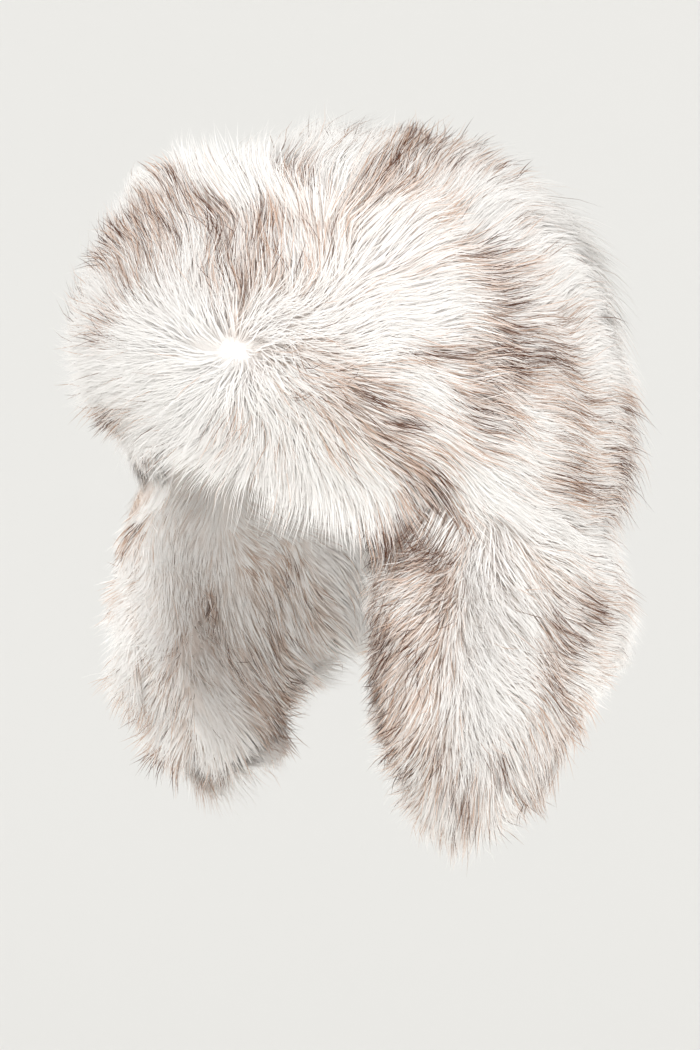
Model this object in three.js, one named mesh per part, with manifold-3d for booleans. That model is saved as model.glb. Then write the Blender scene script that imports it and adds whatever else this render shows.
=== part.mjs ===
// A ushanka in long white fur with brown tips, in the form it has on a head.
// Millimetres. The wearer faces -Y, +X is the wearer's left and +Z is up.
// The origin is the centre of the head opening, level with the tops of the ears.
// Directions round the head are angles from +X, so the front is at -90 degrees.
import * as THREE from "three";
import { mergeVertices } from "three/addons/utils/BufferGeometryUtils.js";
import Module from "manifold-3d";

const wasm = await Module();
wasm.setup();

const DEG = Math.PI / 180;
const FRONT = -90;
const BACK = 90;

// Neighbours keep a gap, fur has a slot a little wider than its cloth, and slivers smaller than this are
// dropped.
const GAP = 0.3;
const SLOT_MARGIN = 1;
const SLIVER = 0.8;

// The crown is a padded dome, and its lower edge runs higher over the forehead than over the nape.
const OPENING = { halfWidth: 78, halfLength: 98 };
const CROWN = { wall: 4, top: 133, swell: 9, swellOver: 45, plan: 2.1, dome: 2.6 };
const RIM = { front: 46, side: 0, back: -15 };
const CROWN_FUR = { backing: 22, atRim: 25 };
const CROWN_SEAM_X = 46;

// The front flap is sewn to the rim and turned up against the crown.
const FRONT_FLAP = { halfAngle: 58, height: 82, cloth: 3, backing: 16, hang: 8, endsHang: 19, overhang: 14 };
const FRONT_FLAP_STANDS = { atRim: 2.6, atTop: 15, over: 30 };
const FRONT_FLAP_LEAN = { by: 16, from: 20, over: 80 };
const FRONT_FUR_EDGE = { lift: 5, thin: 4, edgeRound: 32, lowerRound: 34, lowerShare: 0.35 };

// The flaps over the ears and the nape are one band of cloth, furred on both faces.
const BAND = { cloth: 5, plan: 3, overhang: 13, outerFur: 17, innerFur: 9 };
const BAND_FLARE = { by: 9, over: 55, leansIn: 12, from: 50, to: 150 };
const BAND_FUR_AT_RIM = { outer: 1.35, inner: 0.35, over: 60 };
const BAND_FUR_EDGE = { thin: 2, frontRound: 20, lowerRound: 26, frontShorter: 0.25 };
const EAR_FRONT = -32;
const NECK_SEAM = 62;

// At the temples the front flap's hanging fur meets the ear flap's fur on an upright cut.
const TEMPLE = { angle: -42, low: -14 };

// How far the band's cloth hangs below the rim, from the ear flap's front edge to the nape.
const BAND_EDGE = [
  { angle: -32, drop: 112 },
  { angle: -27, drop: 130 },
  { angle: -20, drop: 138 },
  { angle: -12, drop: 139 },
  { angle: -4, drop: 133 },
  { angle: 5, drop: 120 },
  { angle: 20, drop: 94 },
  { angle: 34, drop: 74 },
  { angle: 48, drop: 61 },
  { angle: 62, drop: 57 },
  { angle: 90, drop: 56 },
];

// Fur parts from a whorl on the front flap, and to both sides of a line down each ear flap.
const FRONT_WHORL = new THREE.Vector3(38, -136, 84);
const EAR_PARTING_Y = 4;

// Sizes of a lock of fur, and how far its tip lifts. Locks that hang from a lower edge don't lift.
const CROWN_LOCK = { length: 50, width: 35, thickness: 12, lift: 6, varies: 0.18 };
const FRONT_LOCK = { width: 30, thickness: 10 };
const BAND_LOCK = { length: 36, hangingLength: 24, width: 31, thickness: 9 };
const BAND_LOCK_LIFT = { outer: 5, inner: 3 };

const FUR = { color: 0xefe8e2, roughness: 0.8, metalness: 0 };
const CLOTH = { color: 0xe6dfd6, roughness: 0.9, metalness: 0 };

const lerp = (a, b, t) => a + (b - a) * t;
const clamp01 = (t) => Math.min(1, Math.max(0, t));
const smooth = (t) => clamp01(t) ** 2 * (3 - 2 * clamp01(t));
const steps = (from, to, count) => Array.from({ length: count + 1 }, (_, i) => lerp(from, to, i / count));

// A repeatable number from -1 to 1 for each whole number.
function scatter(n) {
  const wave = Math.sin(n * 12.9898 + 4.1) * 43758.5453;
  return 2 * (wave - Math.floor(wave)) - 1;
}

// The band's drop at an angle, read between the rows of its table. Both sides of the hat are alike.
const leftSide = (angle) => (angle > BACK ? 2 * BACK - angle : angle);

function bandReach(angle) {
  const at = Math.max(leftSide(angle), EAR_FRONT);
  const next = Math.max(1, BAND_EDGE.findIndex((row) => row.angle >= at));
  const [low, high] = [BAND_EDGE[next - 1], BAND_EDGE[next]];
  return lerp(low.drop, high.drop, (at - low.angle) / (high.angle - low.angle));
}

// Plans are superellipses read in polar form.
function planRadius(angle, halfWidth, halfLength, power) {
  const across = Math.abs(Math.cos(angle * DEG) / halfWidth) ** power;
  const along = Math.abs(Math.sin(angle * DEG) / halfLength) ** power;
  return (across + along) ** (-1 / power);
}

function polar(angle, radius, z) {
  return new THREE.Vector3(radius * Math.cos(angle * DEG), radius * Math.sin(angle * DEG), z);
}

// Height of the rim, seen from the side of the head, and at a direction round the opening.
function rimHeight(y) {
  const back = Math.max(-1, Math.min(1, y / OPENING.halfLength));
  const tilt = (RIM.back - RIM.front) / 2;
  const sag = (RIM.back + RIM.front) / 2 - RIM.side;
  return RIM.side + tilt * back + sag * back * back;
}

function rimAt(angle) {
  const radius = planRadius(angle, OPENING.halfWidth, OPENING.halfLength, CROWN.plan);
  return rimHeight(radius * Math.sin(angle * DEG));
}

// Middle of the crown's wall. rise runs from 0 at the rim to 1 at the top.
function crownSurface(angle, rise) {
  const turn = (clamp01(rise) * Math.PI) / 2;
  const ring = Math.max(0, Math.cos(turn)) ** (2 / CROWN.dome);
  const lift = Math.sin(turn) ** (2 / CROWN.dome);
  const rim = rimAt(angle);
  const swell = CROWN.swell * smooth(((CROWN.top - rim) * lift) / CROWN.swellOver);
  const halfWidth = OPENING.halfWidth + CROWN.wall / 2 + swell;
  const halfLength = OPENING.halfLength + CROWN.wall / 2 + swell;
  const radius = planRadius(angle, halfWidth, halfLength, CROWN.plan) * ring;
  return polar(angle, radius, lerp(rim, CROWN.top, lift));
}

// Back of the turned-up front flap. height is measured up from the rim, and is negative where fur hangs
// below it.
function frontFlapSurface(angle, height) {
  const stands = lerp(
    FRONT_FLAP_STANDS.atRim,
    FRONT_FLAP_STANDS.atTop,
    Math.sin((clamp01(height / FRONT_FLAP_STANDS.over) * Math.PI) / 2),
  );
  const lean = FRONT_FLAP_LEAN.by * smooth((height - FRONT_FLAP_LEAN.from) / FRONT_FLAP_LEAN.over);
  const halfWidth = OPENING.halfWidth + CROWN.wall / 2 + stands - lean;
  const halfLength = OPENING.halfLength + CROWN.wall / 2 + stands - lean;
  return polar(angle, planRadius(angle, halfWidth, halfLength, CROWN.plan), rimAt(angle) + height);
}

// Middle of the band's cloth. drop is measured down from the rim.
function bandSurface(angle, drop) {
  const flared = smooth(drop / BAND_FLARE.over);
  const leaning = BAND_FLARE.leansIn * smooth((drop - BAND_FLARE.from) / (BAND_FLARE.to - BAND_FLARE.from));
  const halfWidth = OPENING.halfWidth + CROWN.wall / 2 + BAND_FLARE.by * flared - leaning;
  const halfLength = OPENING.halfLength + CROWN.wall / 2 + BAND_FLARE.by * flared;
  const power = lerp(CROWN.plan, BAND.plan, flared);
  return polar(angle, planRadius(angle, halfWidth, halfLength, power), rimAt(angle) - drop);
}

// A surface's outward normal, from its slopes. level turns it towards the horizontal.
function normalOf(surface, u, v, level = 0) {
  const step = 0.01;
  const alongU = surface(u + step, v).sub(surface(u - step, v));
  const alongV = surface(u, v + step).sub(surface(u, v - step));
  const normal = alongU.cross(alongV);
  const point = surface(u, v);
  if (normal.length() < 1e-9) return new THREE.Vector3(0, 0, 1);
  if (normal.dot(point) < 0) normal.negate();
  normal.normalize();
  const flat = normal.clone().setZ(0).normalize();
  return normal.lerp(flat, level).normalize();
}

// Near the rim the crown's normal is level, so that what is built outwards from it ends on the rim.
const crownNormal = (angle, rise) =>
  rise > 0.995 ? new THREE.Vector3(0, 0, 1) : normalOf(crownSurface, angle, rise, 1 - smooth(rise / 0.3));
const frontFlapNormal = (angle, height) => normalOf(frontFlapSurface, angle, height, 1);
const bandNormal = (angle, drop) => normalOf(bandSurface, angle, drop, 1);

// A closed solid from a near and a far grid of points. A grid that closes round has no side edges.
function solidBetween(near, far, us, vs, closesRound) {
  const corners = [];
  const quad = (a, b, c, d) => corners.push(a, b, c, a, c, d);
  const grid = (side) => us.map((u) => vs.map((v) => side(u, v)));
  const [low, high] = [grid(near), grid(far)];
  const [lastU, lastV] = [us.length - 1, vs.length - 1];
  for (let i = 0; i < lastU; i++) {
    for (let j = 0; j < lastV; j++) {
      quad(high[i][j], high[i + 1][j], high[i + 1][j + 1], high[i][j + 1]);
      quad(low[i][j], low[i][j + 1], low[i + 1][j + 1], low[i + 1][j]);
    }
    quad(low[i][0], low[i + 1][0], high[i + 1][0], high[i][0]);
    quad(high[i][lastV], high[i + 1][lastV], low[i + 1][lastV], low[i][lastV]);
  }
  if (!closesRound) {
    for (let j = 0; j < lastV; j++) {
      quad(high[0][j], high[0][j + 1], low[0][j + 1], low[0][j]);
      quad(low[lastU][j], low[lastU][j + 1], high[lastU][j + 1], high[lastU][j]);
    }
  }
  return solidFrom(corners);
}

// A solid from loose triangles: corners are merged, and triangles that closed up at a pole are dropped.
function solidFrom(corners) {
  const loose = new THREE.BufferGeometry().setFromPoints(corners);
  const merged = mergeVertices(loose, 1e-3);
  const position = merged.getAttribute("position");
  const index = Array.from(merged.index.array);
  const triVerts = [];
  let volume = 0;
  const at = (i) => new THREE.Vector3().fromBufferAttribute(position, i);
  for (let i = 0; i < index.length; i += 3) {
    const [a, b, c] = index.slice(i, i + 3);
    if (a === b || b === c || c === a) continue;
    triVerts.push(a, b, c);
    volume += at(a).dot(at(b).cross(at(c)));
  }
  if (volume < 0) triVerts.reverse();
  const mesh = new wasm.Mesh({
    numProp: 3,
    vertProperties: Float32Array.from(position.array),
    triVerts: Uint32Array.from(triVerts),
  });
  return new wasm.Manifold(mesh);
}

// Blocks of space that only cut fur where two pieces meet.
const FAR = 400;

function wedge(fromAngle, toAngle, low) {
  const side = (z) => (angle, radius) => polar(angle, radius, z);
  return solidBetween(side(low), side(FAR), steps(fromAngle, toAngle, 8), [12, FAR], false);
}

function pastRim(shift, limit) {
  const ys = [-FAR, ...steps(-OPENING.halfLength, OPENING.halfLength, 12), FAR];
  const rim = (y, x) => new THREE.Vector3(x, y, rimHeight(y) + shift);
  const end = (y, x) => new THREE.Vector3(x, y, limit);
  return solidBetween(rim, end, ys, [-FAR, FAR], false);
}

// Fur flows away from a whorl over the surface, and turns down where down is more than 0.
function flowFrom(whorl, point, normal, down = 0) {
  const flow = point.clone().sub(whorl).normalize();
  flow.z -= down;
  return flow.addScaledVector(normal, -flow.dot(normal)).normalize();
}

// One lock of fur: a tapering tuft with a ridge along its top. Its root is sunk in the backing and its
// tip lifts.
const LOCK_SINK = 0.55;

function lockOf({ point, normal, flow, length, width, thickness, lift }) {
  const across = new THREE.Vector3().crossVectors(normal, flow).multiplyScalar(width / 2);
  const root = point.clone().addScaledVector(normal, -LOCK_SINK * thickness);
  const ridge = root.clone().addScaledVector(normal, thickness);
  const tip = point.clone().addScaledVector(flow, length).addScaledVector(normal, lift);
  const [left, right] = [root.clone().add(across), root.clone().sub(across)];
  return solidFrom([left, ridge, right, left, tip, ridge, ridge, tip, right, right, tip, left]);
}

// Locks and backing become one body, without the smallest slivers where they cross.
const fused = (backing, locks) => wasm.Manifold.union([backing, ...locks]).simplify(SLIVER);

// Cutting fur at a seam can leave the tip of a lock loose, and it is dropped.
function onePiece(solid) {
  return solid.decompose().reduce((most, part) => (part.volume() > most.volume() ? part : most));
}

const CROWN_AROUND = steps(-180, 180, 24);
const CROWN_UP = steps(0, 1, 5);

const crownPoint = (angle, rise, offset) =>
  crownSurface(angle, rise).addScaledVector(crownNormal(angle, rise), offset);

function crownWall() {
  const side = (offset) => (angle, rise) => crownPoint(angle, rise, offset);
  return solidBetween(side(-CROWN.wall / 2), side(CROWN.wall / 2), CROWN_AROUND, CROWN_UP, true);
}

// The crown's whole inside as a solid, out to a depth over the wall's middle and down to a point below
// the rim.
function crownDome(depth) {
  const below = new THREE.Vector3(0, 0, -BAND_EDGE[0].drop);
  const outside = (angle, rise) => crownPoint(angle, rise, depth(rise));
  return solidBetween(() => below, outside, CROWN_AROUND, CROWN_UP, true);
}

// Depth of the crown's fur backing, which stands off further at the rim.
const crownBacking = (rise) => lerp(CROWN_FUR.atRim, CROWN_FUR.backing, Math.sqrt(clamp01(rise / 0.3)));

const CROWN_LOCK_ROWS = [
  { rise: 0.1, count: 16 },
  { rise: 0.26, count: 16 },
  { rise: 0.42, count: 15 },
  { rise: 0.58, count: 13 },
  { rise: 0.74, count: 9 },
  { rise: 0.9, count: 4 },
];

// The crown's fur flows back from the front flap's whorl, and down over the nape.
function crownLocks() {
  const { length, width, thickness, lift, varies } = CROWN_LOCK;
  return CROWN_LOCK_ROWS.flatMap(({ rise, count }, row) =>
    [...Array(count).keys()].map((i) => {
      const seed = row * 50 + i;
      const angle = -180 + ((i + 0.5 * (row % 2) + 0.2 * scatter(seed)) / count) * 360;
      const normal = crownNormal(angle, rise);
      const point = crownPoint(angle, rise, crownBacking(rise));
      const flow = flowFrom(FRONT_WHORL, point, normal, smooth((point.y - 20) / 90));
      const size = 1 + varies * scatter(seed + 7);
      return lockOf({ point, normal, flow, length: length * size, width: width * size, thickness, lift });
    }),
  );
}

function crownFur() {
  const core = crownDome(() => CROWN.wall / 2 + GAP);
  return fused(crownDome(crownBacking), crownLocks()).subtract(core);
}

// Millimetres along the flaps for a degree round the head, near their middle.
const PER_DEGREE = { front: 1.88, side: 1.5 };

// Places on a flap run from 0 to 1, and these are just past the edges of its cloth.
const EDGE = { below: -1, past: 2, beside: SLOT_MARGIN / 100 };

// The front flap in its own terms: across runs from -1 to 1 over the forehead, up from 0 to 1 over the
// height. margin is how far fur or a cut reaches past the cloth.
const frontAngle = (across, margin) => FRONT + across * (FRONT_FLAP.halfAngle + margin / PER_DEGREE.front);

function frontTop(across, margin) {
  const top = FRONT_FLAP.height + margin;
  const shoulder = 0.35 * top;
  return shoulder + (top - shoulder) * (1 - clamp01(Math.abs(across)) ** 4) ** (1 / 4);
}

function frontHeight(across, up, margin) {
  const top = frontTop(across, margin);
  if (up === EDGE.below) return -SLOT_MARGIN;
  if (up === EDGE.past) return top + SLOT_MARGIN;
  return lerp(margin ? -frontHang(across) : 2 * GAP, top, up);
}

// Between the ear flaps the fur hangs below the rim, and further towards them.
function frontHang(across) {
  const out = Math.abs(across);
  const hang = lerp(FRONT_FLAP.hang, FRONT_FLAP.endsHang, smooth((out - 0.3) / 0.3));
  return hang * (1 - smooth((out - 0.7) / 0.1));
}

function frontPoint(across, up, margin, offset) {
  const angle = frontAngle(across, margin);
  const height = frontHeight(across, up, margin);
  return frontFlapSurface(angle, height).addScaledVector(frontFlapNormal(angle, height), offset);
}

// Millimetres from the fur's side and top edges, and from its lower edge.
function frontInset(across, up) {
  const reach = FRONT_FLAP.halfAngle * PER_DEGREE.front;
  const tall = FRONT_FLAP.height + FRONT_FLAP.hang + FRONT_FLAP.overhang;
  return { edge: Math.min((1 - Math.abs(across)) * reach, (1 - up) * tall), lower: up * tall };
}

// A quarter-round from 0 at an edge to 1 at a distance from it.
const rounding = (inset, over) => Math.sqrt(1 - (1 - clamp01(inset / over)) ** 2);

// The fur rolls over the flap's edges: its back lifts off the crown there, and its face rounds down.
function frontFurOffsets(across, up) {
  const { lift, thin, edgeRound, lowerRound, lowerShare } = FRONT_FUR_EDGE;
  const { edge, lower } = frontInset(across, up);
  const back = lift * (1 - smooth(edge / FRONT_FLAP.overhang));
  const full = Math.min(rounding(edge, edgeRound), lerp(lowerShare, 1, rounding(lower, lowerRound)));
  const depth = lerp(thin, FRONT_FLAP.backing, full);
  return { back: back + FRONT_FLAP.cloth / 2, face: back + FRONT_FLAP.cloth + GAP + depth };
}

const FRONT_ACROSS = [-1, -0.95, -0.82, -0.65, -0.45, -0.22, 0, 0.22, 0.45, 0.65, 0.82, 0.95, 1];
const FRONT_UP = [0, 0.2, 0.45, 0.7, 0.88, 1];

function frontFlapSolid(margin, near, far, acrosses = FRONT_ACROSS, ups = FRONT_UP) {
  const side = (offset) => (across, up) => frontPoint(across, up, margin, offset(across, up));
  return solidBetween(side(near), side(far), acrosses, ups, false);
}

function frontFlapWall() {
  return frontFlapSolid(0, () => GAP, () => FRONT_FLAP.cloth + GAP);
}

// The slot that the cloth fills in its fur, a little wider than the cloth all round.
function frontFlapSlot() {
  const across = [-1 - EDGE.beside, ...FRONT_ACROSS, 1 + EDGE.beside];
  const up = [EDGE.below, ...FRONT_UP, EDGE.past];
  return frontFlapSolid(0, () => 0, () => FRONT_FLAP.cloth + 2 * GAP, across, up);
}

// The space in front of the crown that the flap and its fur fill. inset keeps the fur clear of its walls.
function frontFlapSpace(inset) {
  const outOfReach = 120;
  return frontFlapSolid(
    FRONT_FLAP.overhang - inset,
    (across, up) => frontFurOffsets(across, up).back - FRONT_FLAP.cloth / 2 + inset - 2 * GAP,
    () => outOfReach,
  );
}

const FRONT_LOCK_ROWS = [
  { up: 0.16, count: 7, length: 34, lift: 1 },
  { up: 0.34, count: 8, length: 42, lift: 5 },
  { up: 0.55, count: 8, length: 42, lift: 5 },
  { up: 0.75, count: 8, length: 42, lift: 6 },
  { up: 0.92, count: 8, length: 36, lift: 6 },
];

function frontLocks() {
  const margin = FRONT_FLAP.overhang;
  return FRONT_LOCK_ROWS.flatMap(({ up, count, length, lift }, row) =>
    [...Array(count).keys()].map((i) => {
      const seed = 400 + row * 30 + i;
      const across = -0.93 + (1.86 * (i + 0.25 + 0.5 * (row % 2) + 0.2 * scatter(seed))) / count;
      const point = frontPoint(across, up, margin, frontFurOffsets(across, up).face);
      const normal = frontFlapNormal(frontAngle(across, margin), frontHeight(across, up, margin));
      const flow = flowFrom(FRONT_WHORL, point, normal);
      return lockOf({ point, normal, flow, length, lift, ...FRONT_LOCK });
    }),
  );
}

function frontFlapFur() {
  const backing = frontFlapSolid(
    FRONT_FLAP.overhang,
    (across, up) => frontFurOffsets(across, up).back,
    (across, up) => frontFurOffsets(across, up).face,
  );
  return fused(backing, frontLocks()).subtract(frontFlapSlot()).intersect(frontFlapSpace(2 * GAP));
}

// The band in its own terms: down runs from 0 at the rim to 1 at the hanging edge. Fur past the ear
// flap's front edge is a little shorter.
function bandDrop(angle, down, margin) {
  const reach = bandReach(angle);
  if (down === EDGE.below) return -3 * SLOT_MARGIN;
  if (down === EDGE.past) return reach + SLOT_MARGIN;
  const past = clamp01(((EAR_FRONT - leftSide(angle)) * PER_DEGREE.side) / BAND.overhang);
  return lerp(2 * GAP, (reach + margin) * (1 - BAND_FUR_EDGE.frontShorter * past * past), down);
}

function bandPoint(angle, down, margin, offset) {
  const drop = bandDrop(angle, down, margin);
  return bandSurface(angle, drop).addScaledVector(bandNormal(angle, drop), offset);
}

// Depth of the band's fur at a place: less at the free edges, fuller outside at the rim, and pressed
// flat inside it.
function bandFurDepth(angle, down, full, face) {
  const { thin, frontRound, lowerRound } = BAND_FUR_EDGE;
  const frontInset = (leftSide(angle) - EAR_FRONT) * PER_DEGREE.side + BAND.overhang;
  const drop = bandDrop(angle, down, BAND.overhang);
  const lowerInset = bandDrop(angle, 1, BAND.overhang) - drop;
  const edges = Math.min(rounding(frontInset, frontRound), rounding(lowerInset, lowerRound));
  const atRim = lerp(BAND_FUR_AT_RIM[face], 1, smooth(drop / BAND_FUR_AT_RIM.over));
  return lerp(thin, full, edges * atRim);
}

const BAND_DOWN = [0, 0.25, 0.55, 0.85, 1];

function bandSolid(angles, margin, near, far) {
  const side = (offset) => (angle, down) => bandPoint(angle, down, margin, offset(angle, down));
  return solidBetween(side(near), side(far), angles, BAND_DOWN, false);
}

function bandWall(angles) {
  return bandSolid(angles, 0, () => -BAND.cloth / 2, () => BAND.cloth / 2);
}

// The slot that the cloth fills in its fur, open at the rim.
function bandSlot(angles) {
  const half = BAND.cloth / 2 + GAP;
  const side = (offset) => (angle, down) => bandPoint(angle, down, 0, offset);
  return solidBetween(side(-half), side(half), angles, [EDGE.below, ...BAND_DOWN, EDGE.past], false);
}

const EAR_LOCK_ROWS = [
  { down: 0.08, count: 4, from: -24, to: 56 },
  { down: 0.28, count: 4, from: -34, to: 58 },
  { down: 0.48, count: 5, from: -36, to: 58 },
  { down: 0.68, count: 5, from: -36, to: 58 },
  { down: 0.86, count: 4, from: -34, to: 56 },
  { down: 0.98, count: 5, from: -34, to: 54 },
];
const NECK_LOCK_ROWS = [
  { down: 0.12, count: 3, from: 70, to: 108 },
  { down: 0.5, count: 3, from: 67, to: 104 },
  { down: 0.92, count: 4, from: 68, to: 110 },
];

// Flow on the band: downwards, and away from the ear flap's middle line towards its edges.
function bandFlow(point, normal) {
  const sideways = Math.min(0.7, (point.y - EAR_PARTING_Y) / 85);
  const flow = new THREE.Vector3(0, sideways, -lerp(0.5, 1, smooth(-point.z / 60)));
  return flow.addScaledVector(normal, -flow.dot(normal)).normalize();
}

function bandLocks(rows, face, seedFrom) {
  const outwards = face === "outer" ? 1 : -1;
  const full = face === "outer" ? BAND.outerFur : BAND.innerFur;
  const { hangingLength, width, thickness } = BAND_LOCK;
  return rows.flatMap(({ down, count, from, to }, row) =>
    [...Array(count).keys()].map((i) => {
      const seed = seedFrom + row * 20 + i;
      const angle = lerp(from, to, (i + 0.25 + 0.4 * (row % 2) + 0.2 * scatter(seed)) / (count - 0.2));
      const depth = bandFurDepth(angle, down, full, face) + BAND.cloth / 2;
      const normal = bandNormal(angle, bandDrop(angle, down, BAND.overhang)).multiplyScalar(outwards);
      const point = bandPoint(angle, down, BAND.overhang, outwards * depth);
      const hangs = down > 0.9;
      const length = hangs ? hangingLength : BAND_LOCK.length;
      const lift = hangs ? 0 : BAND_LOCK_LIFT[face];
      return lockOf({ point, normal, flow: bandFlow(point, normal), length, width, thickness, lift });
    }),
  );
}

function bandFur(angles, rows, seedFrom) {
  const half = BAND.cloth / 2;
  const backing = bandSolid(
    angles,
    BAND.overhang,
    (angle, down) => -half - bandFurDepth(angle, down, BAND.innerFur, "inner"),
    (angle, down) => half + bandFurDepth(angle, down, BAND.outerFur, "outer"),
  );
  const innerRows = rows.filter((row) => row.down > 0.5);
  return fused(backing, [
    ...bandLocks(rows, "outer", seedFrom),
    ...bandLocks(innerRows, "inner", seedFrom + 500),
  ]);
}

// What lies on the other side of each seam is cut away.
const SEAM_HALF = GAP / 2 / PER_DEGREE.front;
const aboveRim = pastRim(-GAP, FAR);
const belowRim = pastRim(0, -FAR);
const nape = (margin) => wedge(NECK_SEAM - margin, 2 * BACK - NECK_SEAM + margin, -FAR);
const forehead = (margin, low) => wedge(2 * FRONT - TEMPLE.angle - margin, TEMPLE.angle + margin, low);

// The crown's fur is cut into a top and two sides.
const wholeCrownFur = crownFur()
  .subtract(frontFlapSpace(0))
  .subtract(frontFlapSlot())
  .subtract(belowRim);
const [toLeft, toRight] = [[1, 0, 0], [-1, 0, 0]];
const past = CROWN_SEAM_X + GAP / 2;
const within = GAP / 2 - CROWN_SEAM_X;
const crownFurTop = wholeCrownFur.trimByPlane(toLeft, within).trimByPlane(toRight, within);
const crownFurLeft = wholeCrownFur.trimByPlane(toLeft, past);
const crownFurRight = wholeCrownFur.trimByPlane(toRight, past);

// The front flap's fur hangs below the rim only between the ear flaps.
const frontFur = frontFlapFur().subtract(belowRim.subtract(forehead(0, -FAR)));

// Angles for the left ear flap and the neck flap. The right ear flap is the left one's mirror image.
const EAR_ANGLES = [EAR_FRONT, -26, -15, -6, 5, 15, 30, 45, NECK_SEAM - SEAM_HALF];
const EAR_FUR_FRONT = EAR_FRONT - BAND.overhang / PER_DEGREE.side;
const EAR_FUR_ANGLES = [EAR_FUR_FRONT, EAR_FUR_FRONT + 2, ...EAR_ANGLES.slice(1)];
const NECK_ANGLES = steps(NECK_SEAM + SEAM_HALF, 2 * BACK - NECK_SEAM - SEAM_HALF, 5);

const SLOT_BESIDE = SLOT_MARGIN / PER_DEGREE.front;

const earFur = bandFur(EAR_FUR_ANGLES, EAR_LOCK_ROWS, 1000)
  .subtract(bandSlot([EAR_FRONT - SLOT_BESIDE, ...EAR_ANGLES, NECK_SEAM + SLOT_BESIDE]))
  .subtract(aboveRim)
  .subtract(nape(SEAM_HALF))
  .subtract(forehead(SEAM_HALF, TEMPLE.low));
const neckFur = bandFur(NECK_ANGLES, NECK_LOCK_ROWS, 2000)
  .subtract(bandSlot([NECK_SEAM - SLOT_BESIDE, ...NECK_ANGLES, 2 * BACK - NECK_SEAM + SLOT_BESIDE]))
  .subtract(aboveRim)
  .intersect(nape(-SEAM_HALF));

const ushanka = new THREE.Group();

function add(name, solid, look, mirrored = false) {
  const { vertProperties, triVerts } = onePiece(solid).getMesh();
  const geometry = new THREE.BufferGeometry();
  geometry.setAttribute("position", new THREE.BufferAttribute(vertProperties, 3));
  if (mirrored) geometry.scale(-1, 1, 1);
  geometry.setIndex(new THREE.BufferAttribute(mirrored ? triVerts.reverse() : triVerts, 1));
  const mesh = new THREE.Mesh(geometry.toNonIndexed(), new THREE.MeshStandardMaterial(look));
  mesh.geometry.computeVertexNormals();
  mesh.name = name;
  ushanka.add(mesh);
}

add("crown_wall", crownWall(), CLOTH);
add("crown_fur_top", crownFurTop, FUR);
add("crown_fur_left", crownFurLeft, FUR);
add("crown_fur_right", crownFurRight, FUR);
add("front_flap_wall", frontFlapWall(), CLOTH);
add("front_flap_fur", frontFur, FUR);
add("ear_flap_left_wall", bandWall(EAR_ANGLES), CLOTH);
add("ear_flap_left_fur", earFur, FUR);
add("ear_flap_right_wall", bandWall(EAR_ANGLES), CLOTH, true);
add("ear_flap_right_fur", earFur, FUR, true);
add("neck_flap_wall", bandWall(NECK_ANGLES), CLOTH);
add("neck_flap_fur", neckFur, FUR);

export default ushanka;
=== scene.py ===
# %% [markdown]
# # A ushanka in long white fur with brown tips
# A ushanka is a padded crown with three fur-faced flaps: one turned up over the forehead, and a band
# that hangs over the ears and the nape. This lesson dresses the hat's solid model in fur, hair by hair.
# Everything is in metres in the end, but the hat is drawn in millimetres, as a pattern cutter would.

import math

import bmesh
import bpy
import numpy as np
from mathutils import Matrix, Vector, kdtree

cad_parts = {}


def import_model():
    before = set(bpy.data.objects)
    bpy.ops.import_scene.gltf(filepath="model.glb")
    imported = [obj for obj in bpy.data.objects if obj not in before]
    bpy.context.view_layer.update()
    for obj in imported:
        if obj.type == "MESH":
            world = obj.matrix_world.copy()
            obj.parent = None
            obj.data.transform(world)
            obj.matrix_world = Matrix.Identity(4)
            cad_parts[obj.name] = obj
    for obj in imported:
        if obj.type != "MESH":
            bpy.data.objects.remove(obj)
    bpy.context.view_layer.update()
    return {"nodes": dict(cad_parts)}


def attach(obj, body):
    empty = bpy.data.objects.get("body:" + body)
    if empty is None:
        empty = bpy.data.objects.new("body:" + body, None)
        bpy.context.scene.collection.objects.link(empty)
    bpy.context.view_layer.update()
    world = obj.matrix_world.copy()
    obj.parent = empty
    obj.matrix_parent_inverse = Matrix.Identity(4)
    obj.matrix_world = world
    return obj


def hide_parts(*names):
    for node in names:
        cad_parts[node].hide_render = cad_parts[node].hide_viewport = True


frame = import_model()
MM = 0.001
print("solids in the frame:", sorted(frame["nodes"]))

# %% [markdown]
# ## Camera
# The photograph looks at the hat from its left front and from a little above its rim. A long lens keeps
# the near and the far flap almost the same size. The camera stands on a line through the middle of the
# head opening, and a small shift frames the hat as the picture does.

# %% Place the camera
CAMERA_AZIMUTH = 42.0
CAMERA_ELEVATION = 8.0
CAMERA_DISTANCE = 1.6
LENS = 116.7
SHIFT = (-10 / 1050, -40 / 1050)


def direction(azimuth, elevation):
    """Where a viewer stands: azimuth 0 is in front of the face, and 90 is at the wearer's left."""
    a, e = math.radians(azimuth), math.radians(elevation)
    return Vector((math.sin(a) * math.cos(e), -math.cos(a) * math.cos(e), math.sin(e)))


def camera():
    lens = bpy.data.cameras.new("camera")
    lens.lens = LENS
    lens.sensor_width = 36
    lens.shift_x, lens.shift_y = SHIFT
    lens.clip_end = 50
    eye = bpy.data.objects.new("camera", lens)
    towards = direction(CAMERA_AZIMUTH, CAMERA_ELEVATION)
    eye.location = towards * CAMERA_DISTANCE
    eye.rotation_euler = towards.to_track_quat("Z", "Y").to_euler()
    bpy.context.collection.objects.link(eye)
    bpy.context.scene.camera = eye
    return eye


print("camera at", tuple(round(v, 3) for v in camera().location))

# %% [markdown]
# ## The hat's forms
# Every surface is drawn round the head by an angle, measured from the wearer's left, so the forehead is
# at -90. The rim runs higher over the forehead than over the nape. The crown rises from it as a rounded
# dome, the front flap leans back against the crown, and the band flares out and hangs.
# Each form takes whole arrays of places at once, because thousands of hairs will ask for theirs.

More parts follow.
